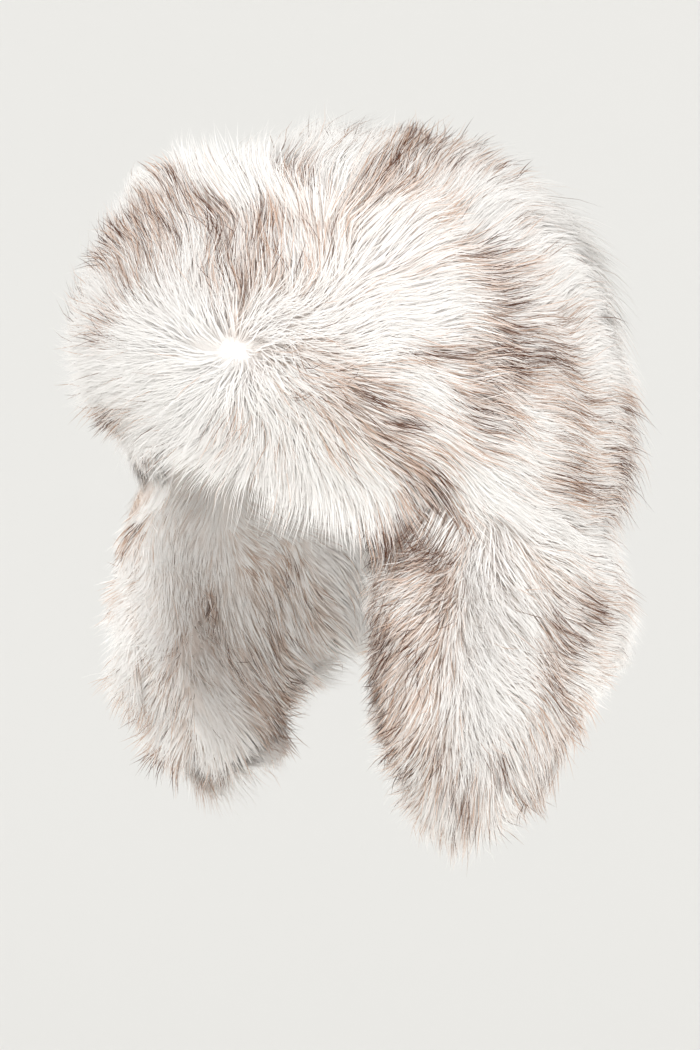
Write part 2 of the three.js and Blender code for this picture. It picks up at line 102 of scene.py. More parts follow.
# %% Plan and rim
FRONT = -90
BACK = 90
OPENING_HALF_WIDTH = 78
OPENING_HALF_LENGTH = 98
RIM_FRONT, RIM_SIDE, RIM_BACK = 46, 0, -15
CROWN_PLAN = 2.1


def lerp(a, b, t):
    return a + (b - a) * t


def smooth(t):
    t = np.clip(t, 0, 1)
    return t * t * (3 - 2 * t)


def unit(v):
    return v / np.maximum(np.linalg.norm(v, axis=-1, keepdims=True), 1e-9)


def plan_radius(angle, half_width, half_length, power):
    """Plans are superellipses, read in polar form."""
    a = np.radians(angle)
    across = np.abs(np.cos(a) / half_width) ** power
    along = np.abs(np.sin(a) / half_length) ** power
    return (across + along) ** (-1 / power)


def polar(angle, radius, z):
    a = np.radians(angle)
    return np.stack([radius * np.cos(a), radius * np.sin(a), z], axis=-1)


def rim_height(y):
    back = np.clip(y / OPENING_HALF_LENGTH, -1, 1)
    tilt = (RIM_BACK - RIM_FRONT) / 2
    sag = (RIM_BACK + RIM_FRONT) / 2 - RIM_SIDE
    return RIM_SIDE + tilt * back + sag * back * back


def rim_at(angle):
    radius = plan_radius(angle, OPENING_HALF_WIDTH, OPENING_HALF_LENGTH, CROWN_PLAN)
    return rim_height(radius * np.sin(np.radians(angle)))


print("the rim falls from", rim_at(FRONT).round(1), "to", rim_at(BACK).round(1), "mm")

# %% The crown, the front flap and the band
CROWN_WALL = 4
CROWN_TOP = 133
CROWN_SWELL, CROWN_SWELL_OVER = 9, 45
CROWN_DOME = 2.6
FRONT_FLAP_STANDS = (2.6, 15)
FRONT_FLAP_STANDS_OVER = 30
FRONT_FLAP_LEAN, FRONT_FLAP_LEAN_FROM, FRONT_FLAP_LEAN_OVER = 16, 20, 80
BAND_PLAN = 3
BAND_FLARE, BAND_FLARE_OVER = 9, 55
BAND_LEAN, BAND_LEAN_FROM, BAND_LEAN_TO = 12, 50, 150


def crown_form(angle, rise):
    """Middle of the crown's wall. rise runs from 0 at the rim to 1 at the top."""
    turn = np.clip(rise, 0, 1) * math.pi / 2
    ring = np.maximum(np.cos(turn), 0) ** (2 / CROWN_DOME)
    lift = np.sin(turn) ** (2 / CROWN_DOME)
    rim = rim_at(angle)
    grown = CROWN_WALL / 2 + CROWN_SWELL * smooth((CROWN_TOP - rim) * lift / CROWN_SWELL_OVER)
    radius = plan_radius(angle, OPENING_HALF_WIDTH + grown, OPENING_HALF_LENGTH + grown, CROWN_PLAN)
    return polar(angle, radius * ring, lerp(rim, CROWN_TOP, lift))


def front_flap_form(angle, height):
    """Back of the turned-up front flap. height is measured up from the rim."""
    opened = np.sin(np.clip(height / FRONT_FLAP_STANDS_OVER, 0, 1) * math.pi / 2)
    stands = lerp(*FRONT_FLAP_STANDS, opened)
    lean = FRONT_FLAP_LEAN * smooth((height - FRONT_FLAP_LEAN_FROM) / FRONT_FLAP_LEAN_OVER)
    grown = CROWN_WALL / 2 + stands - lean
    radius = plan_radius(angle, OPENING_HALF_WIDTH + grown, OPENING_HALF_LENGTH + grown, CROWN_PLAN)
    return polar(angle, radius, rim_at(angle) + height)


def band_form(angle, drop):
    """Middle of the cloth of the ear and neck flaps. drop is measured down from the rim."""
    flared = smooth(drop / BAND_FLARE_OVER)
    leaning = BAND_LEAN * smooth((drop - BAND_LEAN_FROM) / (BAND_LEAN_TO - BAND_LEAN_FROM))
    half_width = OPENING_HALF_WIDTH + CROWN_WALL / 2 + BAND_FLARE * flared - leaning
    half_length = OPENING_HALF_LENGTH + CROWN_WALL / 2 + BAND_FLARE * flared
    power = lerp(CROWN_PLAN, BAND_PLAN, flared)
    return polar(angle, plan_radius(angle, half_width, half_length, power), rim_at(angle) - drop)


def outward(form, u, v, step=0.01):
    """A form's normal, from its slopes, turned away from the middle of the head."""
    along_u = form(u + step, v) - form(u - step, v)
    along_v = form(u, v + step) - form(u, v - step)
    normal = unit(np.cross(along_u, along_v))
    point = form(u, v)
    facing = np.sum(normal * (point - (0, 0, 40)), axis=-1, keepdims=True)
    return np.where(facing < 0, -normal, normal)


def level(normal, share):
    """Turns normals towards the horizontal, where neighbours meet at the rim."""
    flat = unit(normal * (1, 1, 0))
    return unit(lerp(normal, flat, np.asarray(share)[..., None]))


print("the crown is", round(2 * crown_form(0.0, 0.4)[0]), "mm across at its widest")

# %% [markdown]
# ## Skins: where the hair grows
# On the real hat the hair is knitted into a backing cloth, and it is so deep that the cloth never shows.
# Here each fur piece has a skin, a closed soft shell a little way inside the fur. It stands for the dense
# short underfur: it stops the eye, and the long hairs grow from its outer face. A skin is drawn by two
# numbers from 0 to 1, which makes it easy to scatter roots evenly over it.

# %% Skins of the crown and the front flap
CROWN_FUR, CROWN_FUR_AT_RIM = 22, 25
SKIN_SHARE = 0.68
FLAP_HALF_ANGLE = 58
FLAP_HEIGHT = 82
FLAP_OVERHANG = 14
FLAP_FUR, FLAP_FUR_THIN = 16, 4
FLAP_HANG, FLAP_ENDS_HANG = 8, 19
FLAP_CLOTH = 3
PER_DEGREE_FRONT = 1.88


def rounding(inset, over):
    """A quarter-round from 0 at an edge to 1 at a distance from it."""
    return np.sqrt(np.maximum(0, 1 - (1 - np.clip(inset / over, 0, 1)) ** 2))


def crown_skin(u, v):
    """u goes round from the nape and back, v from the rim to the top."""
    angle, rise = lerp(-270, 90, u), v
    normal = level(outward(crown_form, angle, np.minimum(rise, 0.995)), 1 - smooth(rise / 0.3))
    depth = lerp(CROWN_FUR_AT_RIM, CROWN_FUR, np.sqrt(np.clip(rise / 0.3, 0, 1))) * SKIN_SHARE
    point = crown_form(angle, rise)
    beside = 1 - smooth((np.abs(angle - FRONT) - FLAP_HALF_ANGLE + 8) / 10)
    covered = beside * (1 - smooth((point[..., 2] - rim_at(angle) - FLAP_HEIGHT + 12) / 14))
    return point + normal * lerp(depth, 3, covered)[..., None]


def flap_top(across):
    top = FLAP_HEIGHT + FLAP_OVERHANG
    shoulder = 0.35 * top
    return shoulder + (top - shoulder) * (1 - np.clip(np.abs(across), 0, 1) ** 4) ** 0.25


def flap_hang(across):
    out = np.abs(across)
    hang = lerp(FLAP_HANG, FLAP_ENDS_HANG, smooth((out - 0.3) / 0.3))
    return hang * (1 - smooth((out - 0.7) / 0.1))


def front_flap_place(across, up, offset):
    angle = FRONT + across * (FLAP_HALF_ANGLE + FLAP_OVERHANG / PER_DEGREE_FRONT)
    height = lerp(-flap_hang(across), flap_top(across), up)
    normal = level(outward(front_flap_form, angle, height), np.ones_like(height))
    return front_flap_form(angle, height) + normal * np.asarray(offset)[..., None]


def front_flap_depths(across, up):
    """How far the fur's back and its face stand off the cloth's back."""
    reach = FLAP_HALF_ANGLE * PER_DEGREE_FRONT
    tall = FLAP_HEIGHT + FLAP_HANG + FLAP_OVERHANG
    edge = np.minimum((1 - np.abs(across)) * reach, (1 - up) * tall)
    back = 5 * (1 - smooth(edge / FLAP_OVERHANG)) + FLAP_CLOTH / 2
    full = np.minimum(rounding(edge, 32), 0.35 + 0.65 * rounding(up * tall, 34))
    return back, back + FLAP_CLOTH / 2 + lerp(FLAP_FUR_THIN, FLAP_FUR, full) * SKIN_SHARE


def front_flap_skin(u, v):
    """u goes from the right temple to the left one, v from the hanging edge to the turned-up edge."""
    across, up = lerp(-0.97, 0.97, u), lerp(0.02, 0.97, v)
    return front_flap_place(across, up, front_flap_depths(across, up)[1])


# %% Skins of the ear and neck flaps
BAND_EDGE = np.array([
    # angle, drop
    (-32, 112),
    (-27, 130),
    (-20, 138),
    (-12, 139),
    (-4, 133),
    (5, 120),
    (20, 94),
    (34, 74),
    (48, 61),
    (62, 57),
    (90, 56),
])
EAR_FRONT = -32
NECK_SEAM = 62
BAND_CLOTH = 5
BAND_OVERHANG = 13
BAND_FUR_OUTSIDE, BAND_FUR_INSIDE = 17, 9
PER_DEGREE_SIDE = 1.5


def left_side(angle):
    return np.where(angle > BACK, 2 * BACK - angle, angle)


def band_place(angle, down, offset):
    reach = np.interp(np.maximum(left_side(angle), EAR_FRONT), BAND_EDGE[:, 0], BAND_EDGE[:, 1])
    past = np.clip((EAR_FRONT - left_side(angle)) * PER_DEGREE_SIDE / BAND_OVERHANG, 0, 1)
    drop = lerp(0.6, (reach + BAND_OVERHANG) * (1 - 0.25 * past * past), down)
    normal = level(outward(band_form, angle, drop), np.ones_like(drop))
    return band_form(angle, drop) + normal * np.asarray(offset)[..., None], drop, reach


def band_depth(angle, down, full, at_rim):
    _, drop, reach = band_place(angle, down, np.zeros_like(angle))
    front_inset = (left_side(angle) - EAR_FRONT) * PER_DEGREE_SIDE + BAND_OVERHANG
    edges = np.minimum(rounding(front_inset, 20), rounding(reach + BAND_OVERHANG - drop, 26))
    return lerp(2, full, edges * lerp(at_rim, 1, smooth(drop / 60)))


def band_skin(start, end, face):
    """A skin on one face of the band, from one angle round the head to another."""

    def skin(u, v):
        angle, down = lerp(start, end, u), lerp(0.0, 0.97, v)
        if face == "outside":
            depth = BAND_CLOTH / 2 + band_depth(angle, down, BAND_FUR_OUTSIDE, 1.35) * SKIN_SHARE
        else:
            depth = -BAND_CLOTH / 2 - band_depth(angle, down, BAND_FUR_INSIDE, 0.35) * SKIN_SHARE
        return band_place(angle, down, depth)[0]

    return skin


def band_lean(start, end):
    """Near a free edge the hair leans off it, so that the fur of both faces meets round the edge."""

    def lean(u, v):
        angle, down = lerp(start, end, u), lerp(0.0, 0.97, v)
        _, drop, reach = band_place(angle, down, np.zeros_like(angle))
        front_inset = (left_side(angle) - EAR_FRONT) * PER_DEGREE_SIDE + BAND_OVERHANG
        forward = np.exp(-np.maximum(front_inset, 0) / EDGE_LEAN_OVER)
        down = np.exp(-np.maximum(reach + BAND_OVERHANG - drop, 0) / EDGE_LEAN_OVER)
        a = np.radians(left_side(angle))
        side = np.where(angle > BACK, -1, 1)
        return EDGE_LEAN * np.stack([forward * side * np.sin(a), -forward * np.cos(a), -down], axis=1)

    return lean


EDGE_LEAN, EDGE_LEAN_OVER = 1.3, 11
EAR_FUR_FRONT = EAR_FRONT - BAND_OVERHANG / PER_DEGREE_SIDE
print("the ear flap's fur starts at", round(EAR_FUR_FRONT, 1), "degrees")

# %% [markdown]
# ## Combing
# A hair is drawn in a few straight steps. At each step the comb asks two fields: which way is out of the
# fur, and which way does the fur lie here. The hair starts out steep and ends lying almost flat, so it
# bends over as a real one does under its own weight and the maker's brush.
# Real fur also gathers: neighbouring tips draw together into wisps, and wisps into locks. After combing,
# each hair is drawn some of the way to the middle hair of its wisp, more towards its tip.

# %% Scatter roots over a skin
def slopes(skin, u, v, step=1e-3):
    along_u = skin(np.minimum(u + step, 1), v) - skin(np.maximum(u - step, 0), v)
    along_v = skin(u, np.minimum(v + step, 1)) - skin(u, np.maximum(v - step, 0))
    return along_u, along_v


def scatter_roots(skin, count, facing_at, rng, keep=None, lean_at=None):
    """Roots spread evenly over a skin, with the way out of the fur at each. keep says where hair grows."""
    u, v = rng.random(count * 8), rng.random(count * 8)
    along_u, along_v = slopes(skin, u, v)
    across = np.cross(along_u, along_v)
    chance = np.linalg.norm(across, axis=1)
    if keep is not None:
        chance = chance * keep(skin(u, v))
    chosen = rng.choice(len(u), count, replace=False, p=chance / chance.sum())
    u, v = u[chosen], v[chosen]
    point = skin(u, v)
    normal = unit(across[chosen])
    facing = np.sum(normal * facing_at(point, u, v), axis=1, keepdims=True)
    normal = np.where(facing < 0, -normal, normal)
    return point, normal if lean_at is None else unit(normal + lean_at(u, v))


def from_the_head(point, u, v):
    return point - (0, 0, 40)


def to_the_head(point, u, v):
    return (0, 0, 40) - point


# %% Comb hairs along two fields
def turned(vector, axis, angle):
    """Vectors turned about their own axes, by Rodrigues' formula."""
    c, s = np.cos(angle)[:, None], np.sin(angle)[:, None]
    along = np.sum(axis * vector, axis=1, keepdims=True)
    return vector * c + np.cross(axis, vector) * s + axis * along * (1 - c)


STEPS = 8
KEEPS_ITS_WAY = 0.4


def comb(roots, normals, out_at, flow_at, length, steep, flat, stray):
    """The points of each hair, root first, and the way out of the fur at each point."""
    step = (length / STEPS)[:, None]
    points, outs = [roots], [normals]
    here = roots.copy()
    before = flow_at(here)
    for i in range(STEPS):
        t = (i + 0.5) / STEPS
        out = unit(lerp(normals, out_at(here, normals), t))
        lie = before = unit(flow_at(here) + KEEPS_ITS_WAY * before)
        lie = unit(lie - out * np.sum(lie * out, axis=1, keepdims=True))
        lie = turned(lie, out, stray * (0.4 + t))
        angle = lerp(steep, flat, t ** 0.6)[:, None]
        here = here + step * (lie * np.cos(angle) + out * np.sin(angle))
        points.append(here.copy())
        outs.append(out)
    return np.stack(points, axis=1), np.stack(outs, axis=1)


# %% Gather hairs into wisps
def nearest_guides(roots, guide_roots):
    tree = kdtree.KDTree(len(guide_roots))
    for i, root in enumerate(guide_roots.tolist()):
        tree.insert(root, i)
    tree.balance()
    return np.array([tree.find(root)[1] for root in roots.tolist()])


def gather(points, guides, strength, rng):
    """Draws each hair towards the nearest guide hair, more and more from root to tip."""
    own = nearest_guides(points[:, 0], guides[:, 0])
    pull = strength * (0.6 + 0.4 * rng.random(len(points)))
    t = np.linspace(0, 1, points.shape[1]) ** 1.4
    draw = (pull[:, None] * t)[..., None]
    return points + draw * (guides[own] - points), own


# %% [markdown]
# ## Colour of the fur
# The fur is white, with a warm beige shade deep down, and in places the tips of the hairs are brown. Two numbers
# say it all for a hair: how brown its tip is, and how warm its lower half is. In a few places that warmth is
# painted shade, a beige darkening inside the right ear flap and along the left ear flap's front edge. Both are kept
# in the hair's UV map with its length, so that one small shader colours every hair from root to tip.
# The brown places are charted as a dyer would mark them: each is a stroke from one point to another, in
# millimetres, with the radius that it fades over.

# %% Chart the brown and the warm places
FRONT_BROWN = np.array([
    # from x, y, z, to x, y, z, radius, strength
    # tufts on the front flap's end at the wearer's right
    (-29, -127, 137, -13, -125, 127, 8, 1.00),
    (-13, -125, 127, -1, -122, 119, 8, 1.00),
    (-1, -122, 119, -10, -123, 111, 8, 1.00),
    (-61, -115, 110, -40, -115, 109, 6, 0.90),
    (-40, -115, 109, -16, -135, 104, 6, 0.90),
    (-16, -135, 104, -26, -127, 89, 6, 0.90),
    (-26, -127, 89, -31, -126, 77, 6, 0.90),
    (-68, -106, 125, -39, -114, 120, 7, 0.90),
    (-39, -114, 120, -24, -119, 115, 7, 0.90),
    (-32, -117, 146, -16, -112, 136, 6, 0.60),
    (-84, -88, 106, -62, -109, 85, 9, 0.75),
    (-61, -105, 33, -23, -127, 45, 8, 0.50),
    # the curled arcs over the front flap
    (-20, -106, 147, 6, -118, 139, 6, 1.00),
    (6, -118, 139, 25, -123, 135, 6, 1.00),
    (25, -123, 135, 30, -119, 126, 6, 1.00),
    (30, -119, 126, 28, -118, 114, 6, 1.00),
    (28, -118, 114, 26, -122, 103, 6, 1.00),
    (6, -78, 149, 7, -67, 151, 6, 0.95),
    (7, -67, 151, 21, -64, 144, 6, 0.95),
    (21, -64, 144, 38, -74, 135, 6, 0.95),
    (38, -74, 135, 57, -91, 128, 6, 0.95),
    (57, -91, 128, 63, -102, 114, 6, 0.95),
    (41, -110, 132, 41, -108, 122, 5, 0.85),
    (41, -108, 122, 41, -113, 110, 5, 0.85),
    (41, -113, 110, 42, -118, 92, 5, 0.85),
    (55, -77, 132, 65, -97, 120, 5, 0.75),
    (65, -97, 120, 65, -102, 111, 5, 0.75),
    (45, -102, 128, 51, -108, 106, 5, 0.60),
    (-4, -72, 147, 22, -77, 140, 6, 0.70),
    (22, -77, 140, 44, -93, 133, 6, 0.70),
    # thin streaks on the front flap, and its lower edge
    (74, -88, 97, 85, -55, 112, 6, 0.35),
    (97, -78, 72, 103, -49, 72, 6, 0.60),
    (74, -98, 75, 86, -89, 60, 9, 0.45),
    (76, -104, 59, 81, -90, 35, 15, 0.90),
    (86, -89, 60, 96, -81, 42, 9, 0.60),
    (96, -81, 42, 88, -60, 25, 10, 0.85),
    (88, -60, 25, 90, -54, 7, 9, 0.80),
    (31, -111, 39, 46, -108, 28, 12, 0.50),
    (88, -78, 97, 87, -44, 117, 9, 0.25),
])
CROWN_BROWN = np.array([
    # from x, y, z, to x, y, z, radius, strength
    # top of the crown
    (-28, 6, 164, 7, 19, 162, 9, 0.85),
    (7, 19, 162, 13, 64, 155, 9, 0.85),
    (62, -74, 129, 59, -46, 144, 9, 0.90),
    (59, -46, 144, 15, 39, 158, 9, 0.95),
    (62, -44, 137, 54, -5, 150, 9, 0.55),
    (54, -5, 150, 56, 23, 154, 9, 0.55),
    (18, 41, 158, 49, 47, 152, 10, 0.60),
    (49, 47, 152, 53, 101, 120, 10, 0.40),
    (75, -35, 127, 75, -20, 135, 9, 0.35),
    (83, 16, 115, 81, 25, 125, 7, 0.40),
    # left side of the crown
    (87, -34, 120, 88, -3, 110, 9, 0.68),
    (88, -21, 109, 100, 11, 104, 9, 0.50),
    (93, -24, 101, 96, -15, 95, 9, 0.72),
    (94, -25, 98, 98, -21, 86, 10, 0.61),
    (99, -21, 86, 94, 39, 81, 9, 0.36),
    (111, -28, 72, 102, -38, 51, 14, 0.68),
    (102, -37, 50, 102, -35, 35, 12, 0.61),
    (111, -27, 73, 112, 16, 68, 12, 0.40),
    (100, 62, 23, 102, 73, 7, 12, 0.72),
    (106, 25, 44, 86, 83, 26, 14, 0.40),
    (106, 2, 15, 81, 88, -9, 13, 0.54),
    (82, 89, -10, 69, 107, -34, 12, 0.50),
    (54, 102, 116, 88, 89, 75, 12, 0.32),
    (88, 89, 75, 94, 91, 43, 12, 0.36),
    (107, 5, 48, 114, 8, 30, 14, 0.29),
])
EAR_BROWN = np.array([
    # from x, y, z, to x, y, z, radius, strength
    # left ear flap, outside
    (108, 3, -50, 110, 7, -61, 8, 0.82),
    (108, -6, -31, 111, 8, -44, 9, 0.45),
    (112, 11, -69, 108, 21, -108, 16, 0.70),
    (94, 58, -6, 85, 92, -4, 12, 0.49),
    (84, 83, -25, 96, 74, -52, 9, 0.41),
    (99, -22, -115, 98, -17, -125, 7, 0.49),
    (88, -67, -22, 94, -58, -16, 9, 0.41),
    (92, -69, -49, 95, -63, -52, 7, 0.78),
    (83, -65, -76, 74, -50, -105, 8, 0.49),
    (72, -51, -114, 68, -27, -150, 10, 0.45),
    (68, -27, -150, 91, -27, -155, 10, 0.49),
    (91, -27, -155, 92, 1, -150, 8, 0.37),
    (93, -57, -7, 102, -41, -2, 8, 0.37),
    (92, -67, -26, 94, -65, -37, 8, 0.45),
    (106, 33, -48, 103, 52, -76, 18, 0.53),
    (106, -7, -117, 95, 16, -138, 13, 0.53),
    # brown tips along the left ear flap's front edge, made stronger so that they also carry painted shade
    (90, -70, -15, 76, -58, -118, 15, 0.92),
    (88, -48, -128, 94, -4, -146, 14, 0.25),
    # right ear flap, inside and front edge
    (-74, -26, -65, -72, -20, -89, 9, 0.60),
    (-69, -50, -77, -78, -58, -92, 6, 0.70),
    (-68, -39, -98, -68, -52, -104, 6, 0.45),
    (-69, -3, -112, -59, 23, -145, 12, 0.50),
    (-75, 32, -116, -67, 45, -131, 10, 0.70),
    (-100, -60, -57, -79, -67, -20, 6, 0.60),
    (-108, -62, -90, -102, -60, -64, 6, 0.65),
    (-107, -56, -122, -104, -54, -102, 8, 0.65),
    (-101, -52, -107, -92, -50, -113, 8, 0.60),
    (-89, -37, -144, -69, -18, -148, 8, 0.40),
    (-71, -55, -27, -74, -39, -20, 5, 0.60),
    (-55, -84, 18, -63, -56, 21, 8, 0.50),
    (-72, -3, -98, -73, 20, -118, 12, 0.55),
])
# Warm beige places of the fur; a few rows are painted shade, a beige darkening where shade falls.
WARM_AND_SHADE_STROKES = np.array([
    # from x, y, z, to x, y, z, radius, strength
    (98, 0, 100, 106, 20, 60, 34, 0.55),
    (106, 20, 60, 95, 70, 20, 34, 0.75),
    (60, 90, 110, 92, 85, 50, 30, 0.45),
    (104, 14, -45, 98, 42, -95, 32, 1.0),
    (50, -40, 142, 15, 20, 154, 26, 0.60),
    (-5, -122, 130, 58, -92, 122, 26, 0.45),
    (-60, -113, 122, -70, -105, 60, 24, 0.40),
    (78, -100, 55, 72, -62, 2, 26, 0.95),
    (60, -108, 100, 98, -60, 80, 26, 0.35),
    # painted shade along the left ear flap's front edge, over its own beige tone
    (86, -66, -20, 76, -54, -120, 22, 0.95),
    # the next two rows are painted shade: the inside of the right ear flap darkened as if a head shaded it
    (-74, -25, -70, -66, 10, -130, 26, 0.35),
    (-78, -62, 5, -74, -40, -75, 26, 0.50),
    (-69, -50, -77, -100, -52, -118, 20, 0.15),
])
PRESSED = np.array([
    # from x, y, z, to x, y, z, radius, how far pressed down
    (-84, -80, 128, -10, -112, 142, 26, 0.68),
    (-80, -70, 40, -24, -104, 42, 20, 0.40),
    (-96, -60, 36, -66, -88, 26, 24, 0.75),
    (70, 98, -25, 84, 84, -80, 30, 0.45),
    (92, 80, -30, 90, 78, -90, 28, 0.35),
    (-96, -20, -15, -98, 30, -40, 34, 0.70),
    (-88, -70, 12, -96, -66, -48, 30, 0.80),
    (86, -68, -12, 76, -60, -92, 24, 0.45),
    (-8, -120, 40, 74, -92, 30, 22, 0.12),
    (-84, -44, -142, -62, 0, -148, 18, 0.55),
    (104, 30, -60, 98, 52, -90, 24, 0.40),
    (-100, -60, -15, -100, -60, -30, 22, 0.30),
])
LIFTED = np.array([
    # from x, y, z, to x, y, z, radius, strength
    (30, 50, 154, 74, 70, 120, 26, 1.0),
])
TOUSLED = np.array([
    # from x, y, z, to x, y, z, radius, strength
    (-20, -130, 72, 58, -116, 76, 24, 0.50),
    (104, -40, -40, 103, -36, -95, 18, 0.8),
    (104, -45, -15, 104, -30, -30, 14, 0.4),
    (-104, -40, -40, -103, -36, -95, 18, 0.6),
    (-70, -30, -60, -70, -24, -90, 14, 0.5),
])
TONES = 8


def with_mirrored(strokes, beyond, shift):
    """Adds the strokes of the wearer's left side to the right side, a little out of step."""
    aside = (strokes[:, 0] > beyond) & (strokes[:, 3] > beyond)
    behind = (strokes[:, 1] > -45) & (strokes[:, 4] > -45)
    left = strokes[aside & behind].copy()
    left[:, (0, 3)] *= -1
    left[:, 0:3] += shift
    left[:, 3:6] += shift
    return np.concatenate([strokes, left])


OUT_OF_STEP = (0, 9, -7)
BESIDE = 70
BROWN = np.concatenate([FRONT_BROWN, with_mirrored(CROWN_BROWN, BESIDE, OUT_OF_STEP),
                        with_mirrored(EAR_BROWN, BESIDE, OUT_OF_STEP)])
WARM_AND_SHADE = with_mirrored(WARM_AND_SHADE_STROKES, BESIDE, OUT_OF_STEP)


DEPTH_COUNTS = 0.2


def charted(strokes, place, out):
    """How strongly a chart marks each place, from 0 to 1. Depth in the fur counts for little."""
    left = np.ones(len(place))
    for row in strokes:
        start, end, radius, strength = row[0:3], row[3:6], row[6], row[7]
        along = end - start
        t = np.clip((place - start) @ along / max(along @ along, 1e-6), 0, 1)
        offset = place - start - t[:, None] * along
        offset -= (1 - DEPTH_COUNTS) * out * np.sum(offset * out, axis=1, keepdims=True)
        away = np.linalg.norm(offset, axis=1)
        near = np.exp(-((away / radius) ** 2)) * (away < 4 * radius)
        left *= 1 - strength * near
    return 1 - left


# %% [markdown]
# ## Hairs as ribbons
# Each hair is a flat ribbon that narrows to a point, because a ribbon costs five triangles where a round
# hair would cost dozens, and from a few steps away the two look alike. Geometry Nodes sweeps the ribbons:
# the combed points come in as chains of edges, each chain becomes a curve, and a short line is swept along
# it. Each ribbon faces out of the fur, give or take a random turn.

# %% Build the sweeping tree
RIBBON_UV_WIDTH = 0.006


def add_node(tree, kind, **settings):
    node = tree.nodes.new(kind)
    for name, value in settings.items():
        setattr(node, name, value)
    return node


def attribute(tree, name, kind="FLOAT"):
    node = add_node(tree, "GeometryNodeInputNamedAttribute", data_type=kind)
    node.inputs["Name"].default_value = name
    return node.outputs["Attribute"]


def math_node(tree, operation, a, b):
    node = add_node(tree, "ShaderNodeMath", operation=operation)
    for socket, value in zip(node.inputs, (a, b)):
        if isinstance(value, (int, float)):
            socket.default_value = value
        else:
            tree.links.new(value, socket)
    return node.outputs[0]


def ribbon_tree(material):
    tree = bpy.data.node_groups.new("hair_ribbons", "GeometryNodeTree")
    face = tree.interface
    face.new_socket("Geometry", in_out="INPUT", socket_type="NodeSocketGeometry")
    face.new_socket("Geometry", in_out="OUTPUT", socket_type="NodeSocketGeometry")
    face.new_socket("Tip share", in_out="INPUT", socket_type="NodeSocketFloat").default_value = 0.12
    face.new_socket("Taper", in_out="INPUT", socket_type="NodeSocketFloat").default_value = 0.38
    face.new_socket("Joins within", in_out="INPUT", socket_type="NodeSocketFloat").default_value = 4e-6
    link = tree.links.new
    source = add_node(tree, "NodeGroupInput")
    target = add_node(tree, "NodeGroupOutput")
    to_curve = add_node(tree, "GeometryNodeMeshToCurve")
    face_out = add_node(tree, "GeometryNodeSetCurveNormal", mode="FREE")
    line = add_node(tree, "GeometryNodeCurvePrimitiveLine")
    line.inputs["Start"].default_value = (0, -0.5, 0)
    line.inputs["End"].default_value = (0, 0.5, 0)
    side = add_node(tree, "GeometryNodeSplineParameter")
    keep_side = add_node(tree, "GeometryNodeStoreNamedAttribute", data_type="FLOAT", domain="POINT")
    keep_side.inputs["Name"].default_value = "side"
    sweep = add_node(tree, "GeometryNodeCurveToMesh")
    uv = add_node(tree, "ShaderNodeCombineXYZ")
    keep_uv = add_node(tree, "GeometryNodeStoreNamedAttribute", data_type="FLOAT2", domain="CORNER")
    keep_uv.inputs["Name"].default_value = "OFBake"
    close_tip = add_node(tree, "GeometryNodeMergeByDistance")
    realize = add_node(tree, "GeometryNodeRealizeInstances")
    dress = add_node(tree, "GeometryNodeSetMaterial")
    dress.inputs["Material"].default_value = material

    left = math_node(tree, "SUBTRACT", 1.0, attribute(tree, "along"))
    narrowed = math_node(tree, "POWER", left, source.outputs["Taper"])
    width = math_node(tree, "MULTIPLY", narrowed, attribute(tree, "width"))
    link(source.outputs["Geometry"], to_curve.inputs["Mesh"])
    link(to_curve.outputs["Curve"], face_out.inputs["Curve"])
    link(attribute(tree, "facing", "FLOAT_VECTOR"), face_out.inputs["Normal"])
    link(width, sweep.inputs["Scale"])
    link(line.outputs["Curve"], keep_side.inputs["Geometry"])
    link(side.outputs["Factor"], keep_side.inputs["Value"])
    link(face_out.outputs["Curve"], sweep.inputs["Curve"])
    link(keep_side.outputs["Geometry"], sweep.inputs["Profile Curve"])
    spread = math_node(tree, "MULTIPLY", attribute(tree, "side"), RIBBON_UV_WIDTH)
    link(math_node(tree, "ADD", attribute(tree, "tone"), spread), uv.inputs["X"])
    link(attribute(tree, "along"), uv.inputs["Y"])
    link(sweep.outputs["Mesh"], keep_uv.inputs["Geometry"])
    link(uv.outputs[0], keep_uv.inputs["Value"])
    at_tip = math_node(tree, "GREATER_THAN", attribute(tree, "along"), 0.999)
    link(keep_uv.outputs["Geometry"], close_tip.inputs["Geometry"])
    link(at_tip, close_tip.inputs["Selection"])
    link(source.outputs["Joins within"], close_tip.inputs["Distance"])
    link(close_tip.outputs["Geometry"], realize.inputs["Geometry"])
    link(realize.outputs["Geometry"], dress.inputs["Geometry"])
    link(dress.outputs["Geometry"], target.inputs["Geometry"])
    return tree


# %% Turn combed hairs into a ribbon mesh
def chains(name, hairs):
    """One mesh of edge chains, root first, with each point's own values on it."""
    count, steps = hairs["points"].shape[:2]
    mesh = bpy.data.meshes.new(name)
    mesh.vertices.add(count * steps)
    mesh.vertices.foreach_set("co", (hairs["points"] * MM).astype(np.float32).ravel())
    first = np.arange(count * steps).reshape(count, steps)
    edges = np.stack([first[:, :-1], first[:, 1:]], axis=-1).astype(np.int32)
    mesh.edges.add(count * (steps - 1))
    mesh.edges.foreach_set("vertices", edges.ravel())
    along = np.tile(hairs["along"], (count, 1))
    width = np.tile((hairs["width"] * MM)[:, None], (1, steps))
    tone = np.tile(hairs["tone"][:, None], (1, steps))
    for label, values in (("along", along), ("width", width), ("tone", tone)):
        mesh.attributes.new(label, "FLOAT", "POINT").data.foreach_set("value", values.astype(np.float32).ravel())
    for label in ("facing", "shade"):
        data = mesh.attributes.new(label, "FLOAT_VECTOR", "POINT").data
        data.foreach_set("vector", hairs[label].astype(np.float32).ravel())
    return mesh


def ribbons(name, hairs, tree):
    host = bpy.data.objects.new(name, chains(name, hairs))
    bpy.context.collection.objects.link(host)
    swept = host.modifiers.new("ribbons", "NODES")
    swept.node_group = tree
    bpy.context.view_layer.update()
    mesh = bpy.data.meshes.new_from_object(host.evaluated_get(bpy.context.evaluated_depsgraph_get()))
    bpy.data.objects.remove(host)
    return mesh
